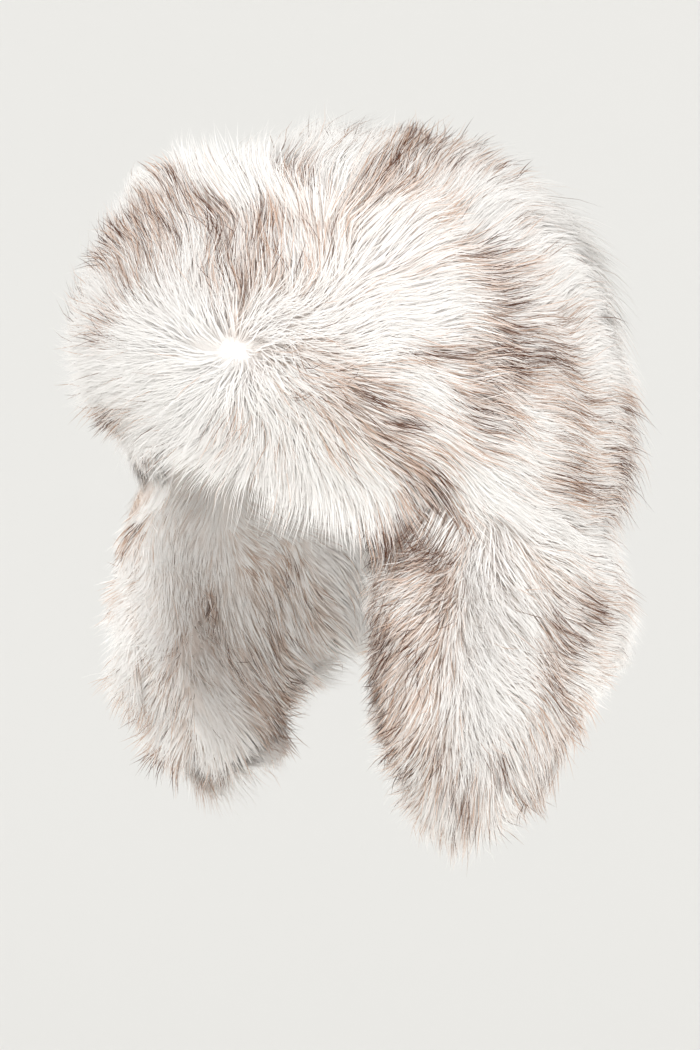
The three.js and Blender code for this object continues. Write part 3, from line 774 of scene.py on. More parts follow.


# %% [markdown]
# ## Fur material
# White fur looks soft because light passes from hair to hair, so the shader is pale and quite rough, with hardly
# any gloss. The colour comes from the hair's own map. Across the map run eight warmths, which in a few places carry
# painted shade, and inside each of them the tips go from white to brown. Up the map the colour goes from root to
# tip.

# %% Build the fur material
ROOT_PALE, ROOT_WARM = (0.97, 0.95, 0.925), (0.62, 0.50, 0.42)
HAIR_PALE, HAIR_WARM = (0.955, 0.935, 0.915), (0.77, 0.655, 0.575)
TIP_PALE, TIP_TAN, TIP_BROWN = (0.945, 0.925, 0.90), (0.60, 0.40, 0.29), (0.10, 0.04, 0.022)


def socket_set(node, name, value):
    socket = node.inputs[name]
    if isinstance(value, bpy.types.NodeSocket):
        node.id_data.links.new(value, socket)
    else:
        socket.default_value = value


def mixed(tree, factor, a, b):
    node = add_node(tree, "ShaderNodeMix", data_type="RGBA")
    for socket, value in zip((node.inputs[0], node.inputs[6], node.inputs[7]), (factor, a, b)):
        if isinstance(value, bpy.types.NodeSocket):
            tree.links.new(value, socket)
        else:
            socket.default_value = value if isinstance(value, (int, float)) else (*value, 1)
    return node.outputs[2]


def ranged(tree, value, low, high, to_low=0.0, to_high=1.0):
    node = add_node(tree, "ShaderNodeMapRange", interpolation_type="SMOOTHSTEP")
    socket_set(node, "Value", value)
    for name, number in (("From Min", low), ("From Max", high), ("To Min", to_low), ("To Max", to_high)):
        node.inputs[name].default_value = number
    return node.outputs["Result"]


def fur_material():
    material = bpy.data.materials.new("fur")
    material.use_nodes = True
    tree = material.node_tree
    shader = tree.nodes["Principled BSDF"]
    own_map = add_node(tree, "ShaderNodeUVMap", uv_map="OFBake")
    split = add_node(tree, "ShaderNodeSeparateXYZ")
    tree.links.new(own_map.outputs["UV"], split.inputs[0])
    across, along = split.outputs["X"], split.outputs["Y"]
    raised = math_node(tree, "MULTIPLY", across, TONES)
    warmth = math_node(tree, "DIVIDE", math_node(tree, "FLOOR", raised, 0), TONES - 1)
    browned = ranged(tree, math_node(tree, "FRACT", raised, 0), 0.06, 0.94)
    root = mixed(tree, warmth, ROOT_PALE, ROOT_WARM)
    middle = mixed(tree, warmth, HAIR_PALE, HAIR_WARM)
    lower = mixed(tree, ranged(tree, along, 0.0, 0.45), root, middle)
    tanned = mixed(tree, ranged(tree, browned, 0.0, 0.5), TIP_PALE, TIP_TAN)
    tip = mixed(tree, ranged(tree, browned, 0.5, 1.0), tanned, TIP_BROWN)
    towards_tip = ranged(tree, along, 0.30, 0.68)
    tree.links.new(mixed(tree, towards_tip, lower, tip), shader.inputs["Base Color"])
    shader.inputs["Roughness"].default_value = 0.55
    shader.inputs["Specular IOR Level"].default_value = 0.12
    return material


FUR = fur_material()
RIBBONS = ribbon_tree(FUR)

# %% [markdown]
# ## How the fur lies
# The brushed fur parts from a whorl low on the front flap. From there it runs up over the flap, where the
# tips curl towards the wearer's right, and back over both sides of the crown without a break. On the ear
# flaps it parts from a line down the middle, and everywhere it ends up falling.

# %% Combing strokes
FRONT_COMBED = np.array([
    # from x, y, z, to x, y, z
    (32, -126, 77, 28, -122, 100),
    (28, -122, 100, 30, -120, 120),
    (30, -120, 120, 21, -126, 135),
    (21, -126, 135, -21, -107, 147),
    (41, -119, 93, 36, -115, 114),
    (42, -111, 114, 42, -110, 136),
    (42, -110, 136, 2, -89, 147),
    (62, -110, 101, 58, -93, 124),
    (60, -93, 128, 22, -86, 143),
    (22, -86, 143, -4, -84, 149),
    (-27, -127, 81, -35, -117, 111),
    (-2, -124, 121, -28, -128, 135),
    (-38, -115, 114, -61, -113, 121),
    (-62, -109, 84, -86, -90, 107),
    (2, -124, 113, -7, -123, 128),
    (-8, -131, 83, -42, -121, 72),
    (0, -131, 67, -58, -108, 49),
    (-2, -129, 59, -30, -124, 38),
    (31, -133, 69, -3, -119, 46),
    (36, -127, 61, 28, -120, 42),
    (43, -118, 57, 50, -112, 34),
    (50, -117, 70, 76, -108, 47),
    (64, -112, 50, 77, -91, 34),
    (72, -103, 70, 90, -82, 52),
    (87, -102, 43, 72, -61, 8),
    (78, -80, 25, 70, -62, -2),
    (97, -78, 42, 92, -53, 3),
    (58, -111, 85, 78, -86, 93),
    (73, -104, 94, 78, -71, 108),
    (82, -102, 102, 67, -47, 128),
    (83, -92, 78, 100, -45, 81),
    (84, -90, 66, 101, -43, 55),
    (90, -82, 52, 106, -51, 36),
    (74, -96, 115, 47, -63, 138),
])
CROWN_COMBED = np.array([
    # from x, y, z, to x, y, z
    (62, -74, 129, 13, 18, 154),
    (61, -49, 138, 18, 41, 156),
    (74, -52, 118, 71, -11, 141),
    (-28, 6, 162, 17, 0, 165),
    (74, -24, 137, 49, 47, 152),
    (87, -33, 120, 84, 1, 114),
    (80, 9, 130, 74, 57, 121),
    (93, -25, 100, 98, 21, 105),
    (107, -32, 83, 93, 40, 83),
    (104, -32, 63, 111, 5, 70),
    (111, 5, 70, 106, 51, 60),
    (103, -36, 47, 107, -10, 55),
    (102, -35, 35, 107, -3, 38),
    (109, 7, 64, 85, 85, 26),
    (108, 9, 39, 103, 62, 11),
    (106, -21, 21, 98, 60, -6),
    (103, -23, 5, 97, 57, -26),
    (52, 102, 109, 86, 83, 86),
    (42, 70, 143, 71, 71, 120),
    (102, -60, 27, 100, -44, 5),
])
EAR_COMBED_OUTSIDE = np.array([
    # from x, y, z, to x, y, z
    (105, -8, -8, 105, 24, -21),
    (104, 25, -17, 91, 77, -38),
    (108, -6, -31, 112, 11, -46),
    (107, 17, -38, 105, 60, -64),
    (107, -10, -47, 109, 11, -70),
    (108, 22, -62, 79, 88, -94),
    (106, -3, -74, 109, 21, -102),
    (103, 9, -100, 104, 26, -125),
    (109, -23, -86, 103, -11, -113),
    (100, -18, -111, 95, -24, -129),
    (94, -47, -115, 84, -41, -139),
    (99, -41, -130, 91, -27, -155),
    (99, -18, -134, 89, -10, -151),
    (84, -46, -113, 69, -50, -124),
    (92, -61, -80, 74, -56, -95),
    (97, -61, -46, 86, -69, -57),
    (96, -54, -26, 90, -70, -34),
    (98, -51, -13, 88, -67, -20),
    (102, -41, -2, 93, -58, -11),
    (102, -47, -46, 106, -56, -60),
    (103, -41, -75, 103, -46, -92),
    (95, 48, -102, 91, 58, -119),
])
EAR_COMBED_INSIDE = np.array([
    # from x, y, z, to x, y, z
    (-71, -46, -11, -78, -66, -17),
    (-72, -48, -30, -90, -68, -55),
    (-73, -43, -56, -104, -52, -77),
    (-73, -36, -70, -98, -50, -94),
    (-73, -27, -78, -100, -52, -106),
    (-71, -32, -90, -95, -49, -118),
    (-71, -24, -91, -84, -40, -140),
    (-70, -23, -98, -63, -33, -142),
    (-72, -12, -93, -67, 6, -143),
    (-71, -1, -101, -59, 23, -145),
    (-74, 20, -115, -67, 44, -134),
    (-75, -20, -59, -74, -19, -76),
    (-79, -65, -9, -82, -69, -25),
    (-63, -56, 20, -57, -86, 18),
])
EAR_COMBED_EDGE = np.concatenate([EAR_COMBED_OUTSIDE, EAR_COMBED_INSIDE])
COMB_REACH = 17
SWIRL = 0.28


def mirrored(strokes):
    return np.concatenate([strokes, strokes * (-1, 1, 1, -1, 1, 1)])


def combed(place, lie, strokes):
    """Turns a lie towards the combing strokes that pass nearby."""
    total = lie * 0.35
    for row in strokes:
        along = row[3:6] - row[0:3]
        t = np.clip((place - row[0:3]) @ along / (along @ along), 0, 1)
        away = np.linalg.norm(place - row[0:3] - t[:, None] * along, axis=1)
        total += np.exp(-((away / COMB_REACH) ** 2))[:, None] * unit(along)
    return unit(total)


def swirled(place, lie):
    """Adds the slow waver that fur has after it has been worn and stroked."""
    x, y, z = place.T / 17
    waver = np.stack([
        np.sin(1.3 * y + 0.7 * z) + np.sin(2.9 * z - 1.1 * x + 2),
        np.sin(1.1 * z + 0.9 * x + 1) + np.sin(2.5 * x + 1.7 * y),
        np.sin(1.2 * x - 0.8 * y + 2) + np.sin(2.7 * y + 0.6 * z + 1),
    ], axis=1)
    return unit(lie + SWIRL * waver)


# %% Lie of the fur
PARTING = np.array(((-2, -134, 74), (52, -118, 76)))
EAR_PARTING_Y = -14
DOME_CENTRE = np.array((0, 0, 30))
DOME_SIZE = np.array((112, 132, 132))


def dome_out(place, root_out):
    """The way out of a rounded dome about the size of the crown, at any place near it."""
    p = (place - DOME_CENTRE) / DOME_SIZE
    p[:, 2] = np.maximum(p[:, 2], 0)
    plan = np.abs(p[:, 0]) ** 2.1 + np.abs(p[:, 1]) ** 2.1
    sideways = np.maximum(plan, 1e-6) ** (2.6 / 2.1 - 1)
    out = np.empty_like(p)
    out[:, 0] = sideways * np.sign(p[:, 0]) * np.abs(p[:, 0]) ** 1.1 / DOME_SIZE[0]
    out[:, 1] = sideways * np.sign(p[:, 1]) * np.abs(p[:, 1]) ** 1.1 / DOME_SIZE[1]
    out[:, 2] = p[:, 2] ** 1.6 / DOME_SIZE[2]
    return unit(out)


def kept_out(place, root_out):
    return root_out


def from_parting(place):
    start, end = PARTING
    along = end - start
    t = np.clip((place - start) @ along / (along @ along), 0, 1)
    return unit(place - start - t[:, None] * along)


def crown_lie(place):
    lie = from_parting(place)
    lie[:, 2] -= smooth((place[:, 1] - 20) / 90)
    return swirled(place, combed(place, lie, mirrored(CROWN_COMBED)))


def front_lie(place):
    lie = from_parting(place)
    lie[:, 2] -= 0.25 * smooth((40 - place[:, 2]) / 30)
    return swirled(place, combed(place, unit(lie), FRONT_COMBED))


def as_charted(strokes):
    return strokes


def ear_lie(strokes, spread=mirrored):
    strokes = spread(strokes)

    def lie_at(place):
        sideways = np.clip((place[:, 1] - EAR_PARTING_Y) / 60, -0.9, 0.7)
        falling = -lerp(0.5, 1, smooth(-place[:, 2] / 60))
        lie = unit(np.stack([np.zeros(len(place)), sideways, falling], axis=1))
        return swirled(place, combed(place, lie, strokes))
    return lie_at


# %% [markdown]
# ## Growing a piece of fur
# Each piece is grown in layers, as a fur fabric is: a thick pale underlayer, the body of the fur, and a few
# long guard hairs whose brown tips draw the fine dark lines on its surface.

# %% Grow layers of hair on a skin
LAYERS = {
    # share of the hairs, steps kept, length, width, first and last angle off the skin,
    # wisps for each 100 hairs, draw into the wisp, share of brown hairs in a brown place, how deep
    # their brown goes, and the share of stray brown tips elsewhere
    "under": dict(strays=0.45, share=0.32, kept=(0, 4, 8), length=0.82, width=1.02, angles=(50, 22),
                  wisps=5, draw=0.22, brown=0.9, deepest=0.22, stray=0.0),
    "body": dict(strays=0.6, share=0.38, kept=(0, 3, 6, 8), length=1.0, width=0.44, angles=(42, 9),
                 wisps=8, draw=0.16, brown=0.9, deepest=0.36, stray=0.0),
    "guard": dict(strays=1.0, share=0.30, kept=(0, 2, 4, 6, 8), length=1.22, width=0.27, angles=(40, 14),
                  wisps=16, draw=0.32, brown=0.7, deepest=1.0, stray=0.04),
}
LOCKS_PER_HAIR = 0.005
LOCK_DRAW = 0.2
SPIN = 0.28


def tones(points, outs, tuft, rng, layer):
    """A hair's place across its map, from how warm and how brown-tipped the charts make it; the warmth chart also
    holds painted shade.
    """
    count = len(points)
    place, out = points[:, 6], outs[:, 6]
    brown = charted(BROWN, place, out) * (0.3 + 1.0 * smooth((tuft - 0.25) / 0.5))
    warmth_and_shade = 0.08 + 0.6 * brown + 0.8 * charted(WARM_AND_SHADE, place, out) + 0.04 * rng.standard_normal(count)
    stray_tip = (rng.random(count) < layer["stray"]) * (0.3 + 0.6 * rng.random(count))
    own_share = np.where(rng.random(count) < layer["brown"], 1.6, 0.3) * layer["deepest"]
    tipped = np.clip(np.maximum(brown * own_share, stray_tip), 0, layer["deepest"])
    return (np.floor(np.clip(warmth_and_shade, 0, 0.999) * TONES) + 0.06 + 0.86 * tipped) / TONES, tipped


def grow(skin, count, length, out_at, lie_at, rng, facing_at=from_the_head, keep=None, lean_at=None):
    """All layers of hair on a skin, ready to be swept."""

    def strands(number, share, angles, strays):
        roots, normals = scatter_roots(skin, number, facing_at, rng, keep, lean_at)
        long = length * share * (1 + 0.14 * strays * rng.standard_normal(number))
        tousled, pressed = charted(TOUSLED, roots, normals), charted(PRESSED, roots, normals)
        roots = roots - normals * (1.5 + 3 * rng.random((number, 1))) * (1 - 0.9 * pressed[:, None])
        long = np.clip(long, 0.4 * length, 1.35 * length) * (1 - 0.5 * pressed) * (1 - 0.35 * tousled)
        steep = np.radians(angles[0] + 20 * tousled + 8 * strays * rng.standard_normal(number))
        lifted = 38 * tousled + 14 * charted(LIFTED, roots, normals)
        flat = np.radians(angles[1] + lifted + 8 * strays * rng.standard_normal(number))
        steep, flat = steep * (1 - 0.7 * pressed), flat * (1 - 0.9 * pressed)
        stray = strays * np.radians(9 + 50 * tousled) * rng.standard_normal(number)
        return comb(roots, normals, out_at, lie_at, long, steep, flat, stray)

    locks, _ = strands(max(8, int(count * LOCKS_PER_HAIR)), 1.0, LAYERS["body"]["angles"], 0.6)
    lock_tuft = rng.random(len(locks))
    grown = []
    for layer in LAYERS.values():
        number = int(count * layer["share"])
        points, outs = strands(number, layer["length"], layer["angles"], layer["strays"])
        wisps = rng.choice(number, max(4, int(number * layer["wisps"] / 100)), replace=False)
        points, own_wisp = gather(points, points[wisps], layer["draw"], rng)
        points, own_lock = gather(points, locks, LOCK_DRAW, rng)
        tuft = 0.55 * lock_tuft[own_lock] + 0.45 * rng.random(len(wisps))[own_wisp]
        tone, tipped = tones(points, outs, tuft, rng, layer)
        points, outs = points[:, layer["kept"]], outs[:, layer["kept"]]
        run = unit(np.gradient(points, axis=1))
        spin = np.repeat(rng.normal(0, SPIN, number), points.shape[1])
        facing = unit(outs - run * np.sum(outs * run, axis=2, keepdims=True)).reshape(-1, 3)
        facing = turned(facing, run.reshape(-1, 3), spin)
        grown.append(dict(
            points=points,
            along=np.array(layer["kept"]) / STEPS,
            facing=facing,
            shade=unit(outs.reshape(-1, 3) + 0.08 * facing),
            width=layer["width"] * (1 + 0.8 * tipped + 0.2 * rng.standard_normal(number)).clip(0.5, 2.4),
            tone=tone,
        ))
    return grown


# %% Close a skin into a soft shell
def grid_faces(rows, columns, round_rows):
    quads = []
    for i in range(rows if round_rows else rows - 1):
        for j in range(columns - 1):
            k = (i + 1) % rows
            quads.append((i * columns + j, k * columns + j, k * columns + j + 1, i * columns + j + 1))
    return quads


def skin_grid(skin, us, vs):
    u, v = np.meshgrid(us, vs, indexing="ij")
    return skin(u.ravel(), v.ravel()).reshape(len(us), len(vs), 3)


print("layers of hair:", ", ".join(LAYERS))


# %% [markdown]
# ## The crown
# The crown's skin is one closed shell over the padded cloth. The fur fabric of a real crown is cut in
# panels, so the shell is cut in three as well, at two planes, and each cut is closed again. The hairs
# belong to the panel that they grow from.

# %% Shell tools
def mesh_object(name, points, faces, material):
    mesh = bpy.data.meshes.new(name)
    mesh.from_pydata((np.asarray(points) * MM).tolist(), [], faces)
    mesh.materials.append(material)
    piece = bpy.data.objects.new(name, mesh)
    bpy.context.collection.objects.link(piece)
    return piece


def shell_mesh(name, outer, inner, closes_round, material):
    """A closed shell between two grids of points."""
    rows, columns = outer.shape[:2]
    size = rows * columns
    faces = grid_faces(rows, columns, closes_round)
    faces += [tuple(size + i for i in reversed(face)) for face in faces]
    last = rows if closes_round else rows - 1
    for i in range(last):
        k = (i + 1) % rows
        for j in (0, columns - 1):
            a, b = i * columns + j, k * columns + j
            faces.append((a, a + size, b + size, b) if j == 0 else (b, b + size, a + size, a))
    if not closes_round:
        for j in range(columns - 1):
            a, b = j, (rows - 1) * columns + j
            faces.append((a, a + 1, a + 1 + size, a + size))
            faces.append((b + 1, b, b + size, b + 1 + size))
    points = np.concatenate([outer.reshape(-1, 3), inner.reshape(-1, 3)])
    return mesh_object(name, points, faces, material)


def tidy(piece, cuts=()):
    """Merges doubles, cuts and closes the shell at planes, and turns its faces out."""
    shape = bmesh.new()
    shape.from_mesh(piece.data)
    bmesh.ops.remove_doubles(shape, verts=shape.verts, dist=1e-5)
    for point, away in cuts:
        everything = shape.verts[:] + shape.edges[:] + shape.faces[:]
        cut = bmesh.ops.bisect_plane(
            shape, geom=everything, plane_co=point, plane_no=away, clear_outer=True, dist=1e-6
        )
        edge = [e for e in cut["geom_cut"] if isinstance(e, bmesh.types.BMEdge)]
        bmesh.ops.holes_fill(shape, edges=edge)
    bmesh.ops.triangulate(shape, faces=[f for f in shape.faces if len(f.verts) > 4])
    bmesh.ops.recalc_face_normals(shape, faces=shape.faces)
    for face in shape.faces:
        face.smooth = True
    shape.to_mesh(piece.data)
    shape.free()
    return piece


def map_shell(piece, rng):
    """The shell is deep in the fur, so it wears the colours of the roots, charted as the hairs are."""
    mesh = piece.data
    layer = mesh.uv_layers.new(name="OFBake")
    corners = np.empty(len(mesh.loops), np.int32)
    mesh.loops.foreach_get("vertex_index", corners)
    place = np.empty(len(mesh.vertices) * 3)
    mesh.vertices.foreach_get("co", place)
    place = place.reshape(-1, 3) / MM
    out = np.empty(len(mesh.vertices) * 3)
    mesh.vertices.foreach_get("normal", out)
    warmth_and_shade = np.clip(0.15 + 0.6 * charted(WARM_AND_SHADE, place, out.reshape(-1, 3)), 0, 0.99)
    u = (np.floor(warmth_and_shade * TONES) + 0.3)[corners] / TONES + 0.004 * rng.random(len(corners))
    v = 0.18 + 0.1 * rng.random(len(corners))
    layer.data.foreach_set("uv", np.stack([u, v], axis=1).astype(np.float32).ravel())


# %% Join shell and hair into one piece
def fur_piece(shell, grown, node, rng):
    """One mesh of a shell and the hair on it, with the hairs' shading turned mostly out of the fur."""
    map_shell(shell, rng)
    parts = [shell]
    for i, hairs in enumerate(grown):
        mesh = ribbons(f"{shell.name}_{i}", hairs, RIBBONS)
        part = bpy.data.objects.new(mesh.name, mesh)
        bpy.context.collection.objects.link(part)
        parts.append(part)
    own = np.empty(len(shell.data.vertices) * 3, np.float32)
    shell.data.vertices.foreach_get("normal", own)
    shell.data.attributes.new("shade", "FLOAT_VECTOR", "POINT").data.foreach_set("vector", own)
    with bpy.context.temp_override(active_object=shell, selected_editable_objects=parts, selected_objects=parts):
        bpy.ops.object.join()
    mesh = shell.data
    shades = np.empty(len(mesh.vertices) * 3, np.float32)
    mesh.attributes["shade"].data.foreach_get("vector", shades)
    for label in ("along", "width", "tone", "facing", "shade", "side"):
        if label in mesh.attributes:
            mesh.attributes.remove(mesh.attributes[label])
    while len(mesh.materials) > 1:
        mesh.materials.pop(index=len(mesh.materials) - 1)
    mesh.polygons.foreach_set("use_smooth", np.ones(len(mesh.polygons), bool))
    mesh.normals_split_custom_set_from_vertices(shades.reshape(-1, 3).tolist())
    mesh.update()
    mesh.calc_loop_triangles()
    print(shell.name, "has", sum(len(h["points"]) for h in grown), "hairs and",
          len(mesh.loop_triangles), "triangles")
    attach(shell, "root")
    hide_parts(node)
    return shell


def split(grown, chosen):
    """The hairs whose roots pass a test."""
    kept = []
    for hairs in grown:
        hold = chosen(hairs["points"][:, 0])
        steps = hairs["points"].shape[1]
        each = np.repeat(hold, steps)
        kept.append(dict(
            points=hairs["points"][hold],
            along=hairs["along"],
            facing=hairs["facing"][each],
            shade=hairs["shade"][each],
            width=hairs["width"][hold],
            tone=hairs["tone"][hold],
        ))
    return kept


# %% Grow the crown's fur
CROWN_HAIRS = 76000
CROWN_HAIR_LENGTH = 44
CROWN_SEAM_X = 46
SEAM_GAP = 0.3


def outside_front_flap(place):
    """Hair that the front flap would cover isn't grown."""
    angle = np.degrees(np.arctan2(place[:, 1], place[:, 0]))
    beside = 1 - smooth((np.abs(angle - FRONT) - FLAP_HALF_ANGLE + 2) / 8)
    return 1 - beside * (1 - smooth((place[:, 2] - 98) / 14))


rng = np.random.default_rng(11)
crown_hair = grow(crown_skin, CROWN_HAIRS, CROWN_HAIR_LENGTH, dome_out, crown_lie, rng, keep=outside_front_flap)
around, up = np.linspace(0, 1, 97)[:-1], np.linspace(0, 1, 25)
crown_outer = skin_grid(crown_skin, around, up)
crown_inner = skin_grid(lambda u, v: crown_form(lerp(-270, 90, u), v)
                        + level(outward(crown_form, lerp(-270, 90, u), np.minimum(v, 0.995)),
                                1 - smooth(v / 0.3)) * 2.4, around, up)
left_cut = ((CROWN_SEAM_X + SEAM_GAP / 2) * MM, 0, 0)
right_cut = (-(CROWN_SEAM_X + SEAM_GAP / 2) * MM, 0, 0)
inner_left = ((CROWN_SEAM_X - SEAM_GAP / 2) * MM, 0, 0)
inner_right = (-(CROWN_SEAM_X - SEAM_GAP / 2) * MM, 0, 0)
CROWN_PANELS = {
    "crown_fur_left": ([(left_cut, (-1, 0, 0))], lambda p: p[:, 0] > CROWN_SEAM_X),
    "crown_fur_top": ([(inner_left, (1, 0, 0)), (inner_right, (-1, 0, 0))],
                      lambda p: np.abs(p[:, 0]) <= CROWN_SEAM_X),
    "crown_fur_right": ([(right_cut, (1, 0, 0))], lambda p: p[:, 0] < -CROWN_SEAM_X),
}
for name, (cuts, chosen) in CROWN_PANELS.items():
    shell = tidy(shell_mesh(f"{name}_pile", crown_outer, crown_inner, True, FUR), cuts)
    fur_piece(shell, split(crown_hair, chosen), name, rng)

# %% [markdown]
# ## The crown's lining
# From below, the hat shows its lining: a smooth satin sewn from six gores that meet at the top, over a
# thin layer of wadding, with a folded hem round the opening. The seams pull the wadding in, and the satin
# puckers a little beside them. Each stitch of the hem is a short thread, set by Geometry Nodes.

# %% Sew the lining
GORES = 6
SEAM_PULL, SEAM_WIDTH = 1.5, 5.0
PUCKER, PUCKER_EVERY = 0.35, 9.0
HEM_RISE, HEM_FOLD = 0.09, 0.7
STITCHES = 150
SATIN, THREAD = (0.80, 0.76, 0.71), (0.66, 0.60, 0.54)


def cloth_material(name, colour, thread_mm, rough):
    """Plain woven cloth: fine crossing threads as bump, and a faint unevenness of shade."""
    material = bpy.data.materials.new(name)
    material.use_nodes = True
    tree = material.node_tree
    shader = tree.nodes["Principled BSDF"]
    place = add_node(tree, "ShaderNodeTexCoord")
    weave = []
    for turn in ((0.0, 0.0, 0.0), (0.0, 1.5708, 0.0), (1.5708, 0.0, 0.0)):
        laid = add_node(tree, "ShaderNodeMapping")
        laid.inputs["Rotation"].default_value = turn
        wave = add_node(tree, "ShaderNodeTexWave")
        wave.inputs["Scale"].default_value = 0.314 / (thread_mm * MM)
        tree.links.new(place.outputs["Object"], laid.inputs["Vector"])
        tree.links.new(laid.outputs["Vector"], wave.inputs["Vector"])
        weave.append(wave.outputs["Fac"])
    crossed = math_node(tree, "ADD", math_node(tree, "ADD", weave[0], weave[1]), weave[2])
    blotch = add_node(tree, "ShaderNodeTexNoise")
    blotch.inputs["Scale"].default_value = 60
    tree.links.new(place.outputs["Object"], blotch.inputs["Vector"])
    dark = tuple(0.86 * c for c in colour)
    tree.links.new(mixed(tree, blotch.outputs["Fac"], dark, colour), shader.inputs["Base Color"])
    bump = add_node(tree, "ShaderNodeBump")
    bump.inputs["Strength"].default_value = 0.15
    bump.inputs["Distance"].default_value = 0.1 * MM
    tree.links.new(crossed, bump.inputs["Height"])
    tree.links.new(bump.outputs["Normal"], shader.inputs["Normal"])
    shader.inputs["Roughness"].default_value = rough
    shader.inputs["Specular IOR Level"].default_value = 0.3
    return material


def plain_material(name, colour):
    material = bpy.data.materials.new(name)
    material.use_nodes = True
    shader = material.node_tree.nodes["Principled BSDF"]
    shader.inputs["Base Color"].default_value = (*colour, 1)
    shader.inputs["Roughness"].default_value = 0.9
    shader.inputs["Specular IOR Level"].default_value = 0.1
    return material


def lining_skin(u, v):
    """The lining's visible face, drawn in at the seams and folded over at the hem."""
    angle = lerp(-270, 90, u)
    normal = level(outward(crown_form, angle, np.minimum(v, 0.995)), 1 - smooth(v / 0.3))
    point = crown_form(angle, v)
    round_here = np.linalg.norm(point[:, :2], axis=1)
    from_seam = np.abs((angle / (360 / GORES)) % 1 - 0.5) * math.radians(720 / GORES) * round_here / 2
    from_seam = math.pi / GORES * round_here - from_seam
    pulled = SEAM_PULL * np.exp(-((from_seam / SEAM_WIDTH) ** 2))
    beside = np.exp(-((from_seam / (3 * SEAM_WIDTH)) ** 2))
    pucker = PUCKER * beside * np.sin(2 * math.pi * v * 150 / PUCKER_EVERY) * smooth(v / 0.1)
    hem = HEM_FOLD * (1 - smooth((v - HEM_RISE) / 0.006)) * smooth(v / 0.01)
    depth = CROWN_WALL / 2 + hem + pucker - pulled * smooth((v - HEM_RISE) / 0.05) * (1 - smooth((v - 0.93) / 0.07))
    return point - normal * np.maximum(depth, 0.4)[..., None]


def lining_back(u, v):
    angle = lerp(-270, 90, u)
    normal = level(outward(crown_form, angle, np.minimum(v, 0.995)), 1 - smooth(v / 0.3))
    return crown_form(angle, v) + normal * CROWN_WALL / 2


def stitch_tree(material):
    """Instances one thread at points along the hem, turned along it."""
    tree = bpy.data.node_groups.new("hem_stitches", "GeometryNodeTree")
    face = tree.interface
    face.new_socket("Geometry", in_out="INPUT", socket_type="NodeSocketGeometry")
    face.new_socket("Geometry", in_out="OUTPUT", socket_type="NodeSocketGeometry")
    face.new_socket("Stitches", in_out="INPUT", socket_type="NodeSocketInt").default_value = STITCHES
    face.new_socket("Thread", in_out="INPUT", socket_type="NodeSocketFloat").default_value = 0.35 * MM
    face.new_socket("Length", in_out="INPUT", socket_type="NodeSocketFloat").default_value = 2.2 * MM
    link = tree.links.new
    source, target = add_node(tree, "NodeGroupInput"), add_node(tree, "NodeGroupOutput")
    curve = add_node(tree, "GeometryNodeMeshToCurve")
    spaced = add_node(tree, "GeometryNodeCurveToPoints", mode="COUNT")
    thread = add_node(tree, "GeometryNodeMeshCylinder")
    thread.inputs["Vertices"].default_value = 6
    turn = add_node(tree, "FunctionNodeAlignRotationToVector", axis="Z")
    place = add_node(tree, "GeometryNodeInstanceOnPoints")
    realize = add_node(tree, "GeometryNodeRealizeInstances")
    dress = add_node(tree, "GeometryNodeSetMaterial")
    dress.inputs["Material"].default_value = material
    link(source.outputs["Geometry"], curve.inputs["Mesh"])
    link(curve.outputs["Curve"], spaced.inputs["Curve"])
    link(source.outputs["Stitches"], spaced.inputs["Count"])
    link(source.outputs["Thread"], thread.inputs["Radius"])
    link(source.outputs["Length"], thread.inputs["Depth"])
    link(spaced.outputs["Tangent"], turn.inputs["Vector"])
    link(spaced.outputs["Points"], place.inputs["Points"])
    link(thread.outputs["Mesh"], place.inputs["Instance"])
    link(turn.outputs["Rotation"], place.inputs["Rotation"])
    link(place.outputs["Instances"], realize.inputs["Geometry"])
    link(realize.outputs["Geometry"], dress.inputs["Geometry"])
    link(dress.outputs["Geometry"], target.inputs["Geometry"])
    return tree


def hem_stitches(material):
    around = np.linspace(0, 1, 241)
    line = lining_skin(around, np.full(len(around), HEM_RISE - 0.015))
    mesh = bpy.data.meshes.new("hem_stitches")
    mesh.from_pydata((line * MM).tolist(), [(i, i + 1) for i in range(len(line) - 1)], [])
    host = bpy.data.objects.new("hem_stitches", mesh)
    bpy.context.collection.objects.link(host)
    host.modifiers.new("stitches", "NODES").node_group = stitch_tree(material)
    bpy.context.view_layer.update()
    made = bpy.data.meshes.new_from_object(host.evaluated_get(bpy.context.evaluated_depsgraph_get()))
    bpy.data.objects.remove(host)
    piece = bpy.data.objects.new("hem_stitches", made)
    bpy.context.collection.objects.link(piece)
    return piece


satin = cloth_material("satin", SATIN, 0.5, 0.55)
around, up = np.linspace(0, 1, 193)[:-1], np.concatenate([np.linspace(0, 0.12, 9), np.linspace(0.13, 1, 38)])
lining = tidy(shell_mesh("crown_lining", skin_grid(lining_back, around, up),
                         skin_grid(lining_skin, around, up), True, satin))
stitches = hem_stitches(plain_material("thread", THREAD))
with bpy.context.temp_override(active_object=lining, selected_editable_objects=[lining, stitches],
                               selected_objects=[lining, stitches]):
    bpy.ops.object.join()
lining.data.calc_loop_triangles()
print("the lining has", len(lining.data.loop_triangles), "triangles with", STITCHES, "stitches")
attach(lining, "root")
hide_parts("crown_wall")

# %% [markdown]
# ## The front flap
# The flap is turned up, so the side that was its lining shows its fur. The hair parts from the whorl, and
# along the lower edge it hangs as a fringe over the forehead.

# %% Grow the front flap's fur
FRONT_HAIRS = 28500
FRONT_HAIR_LENGTH = 40



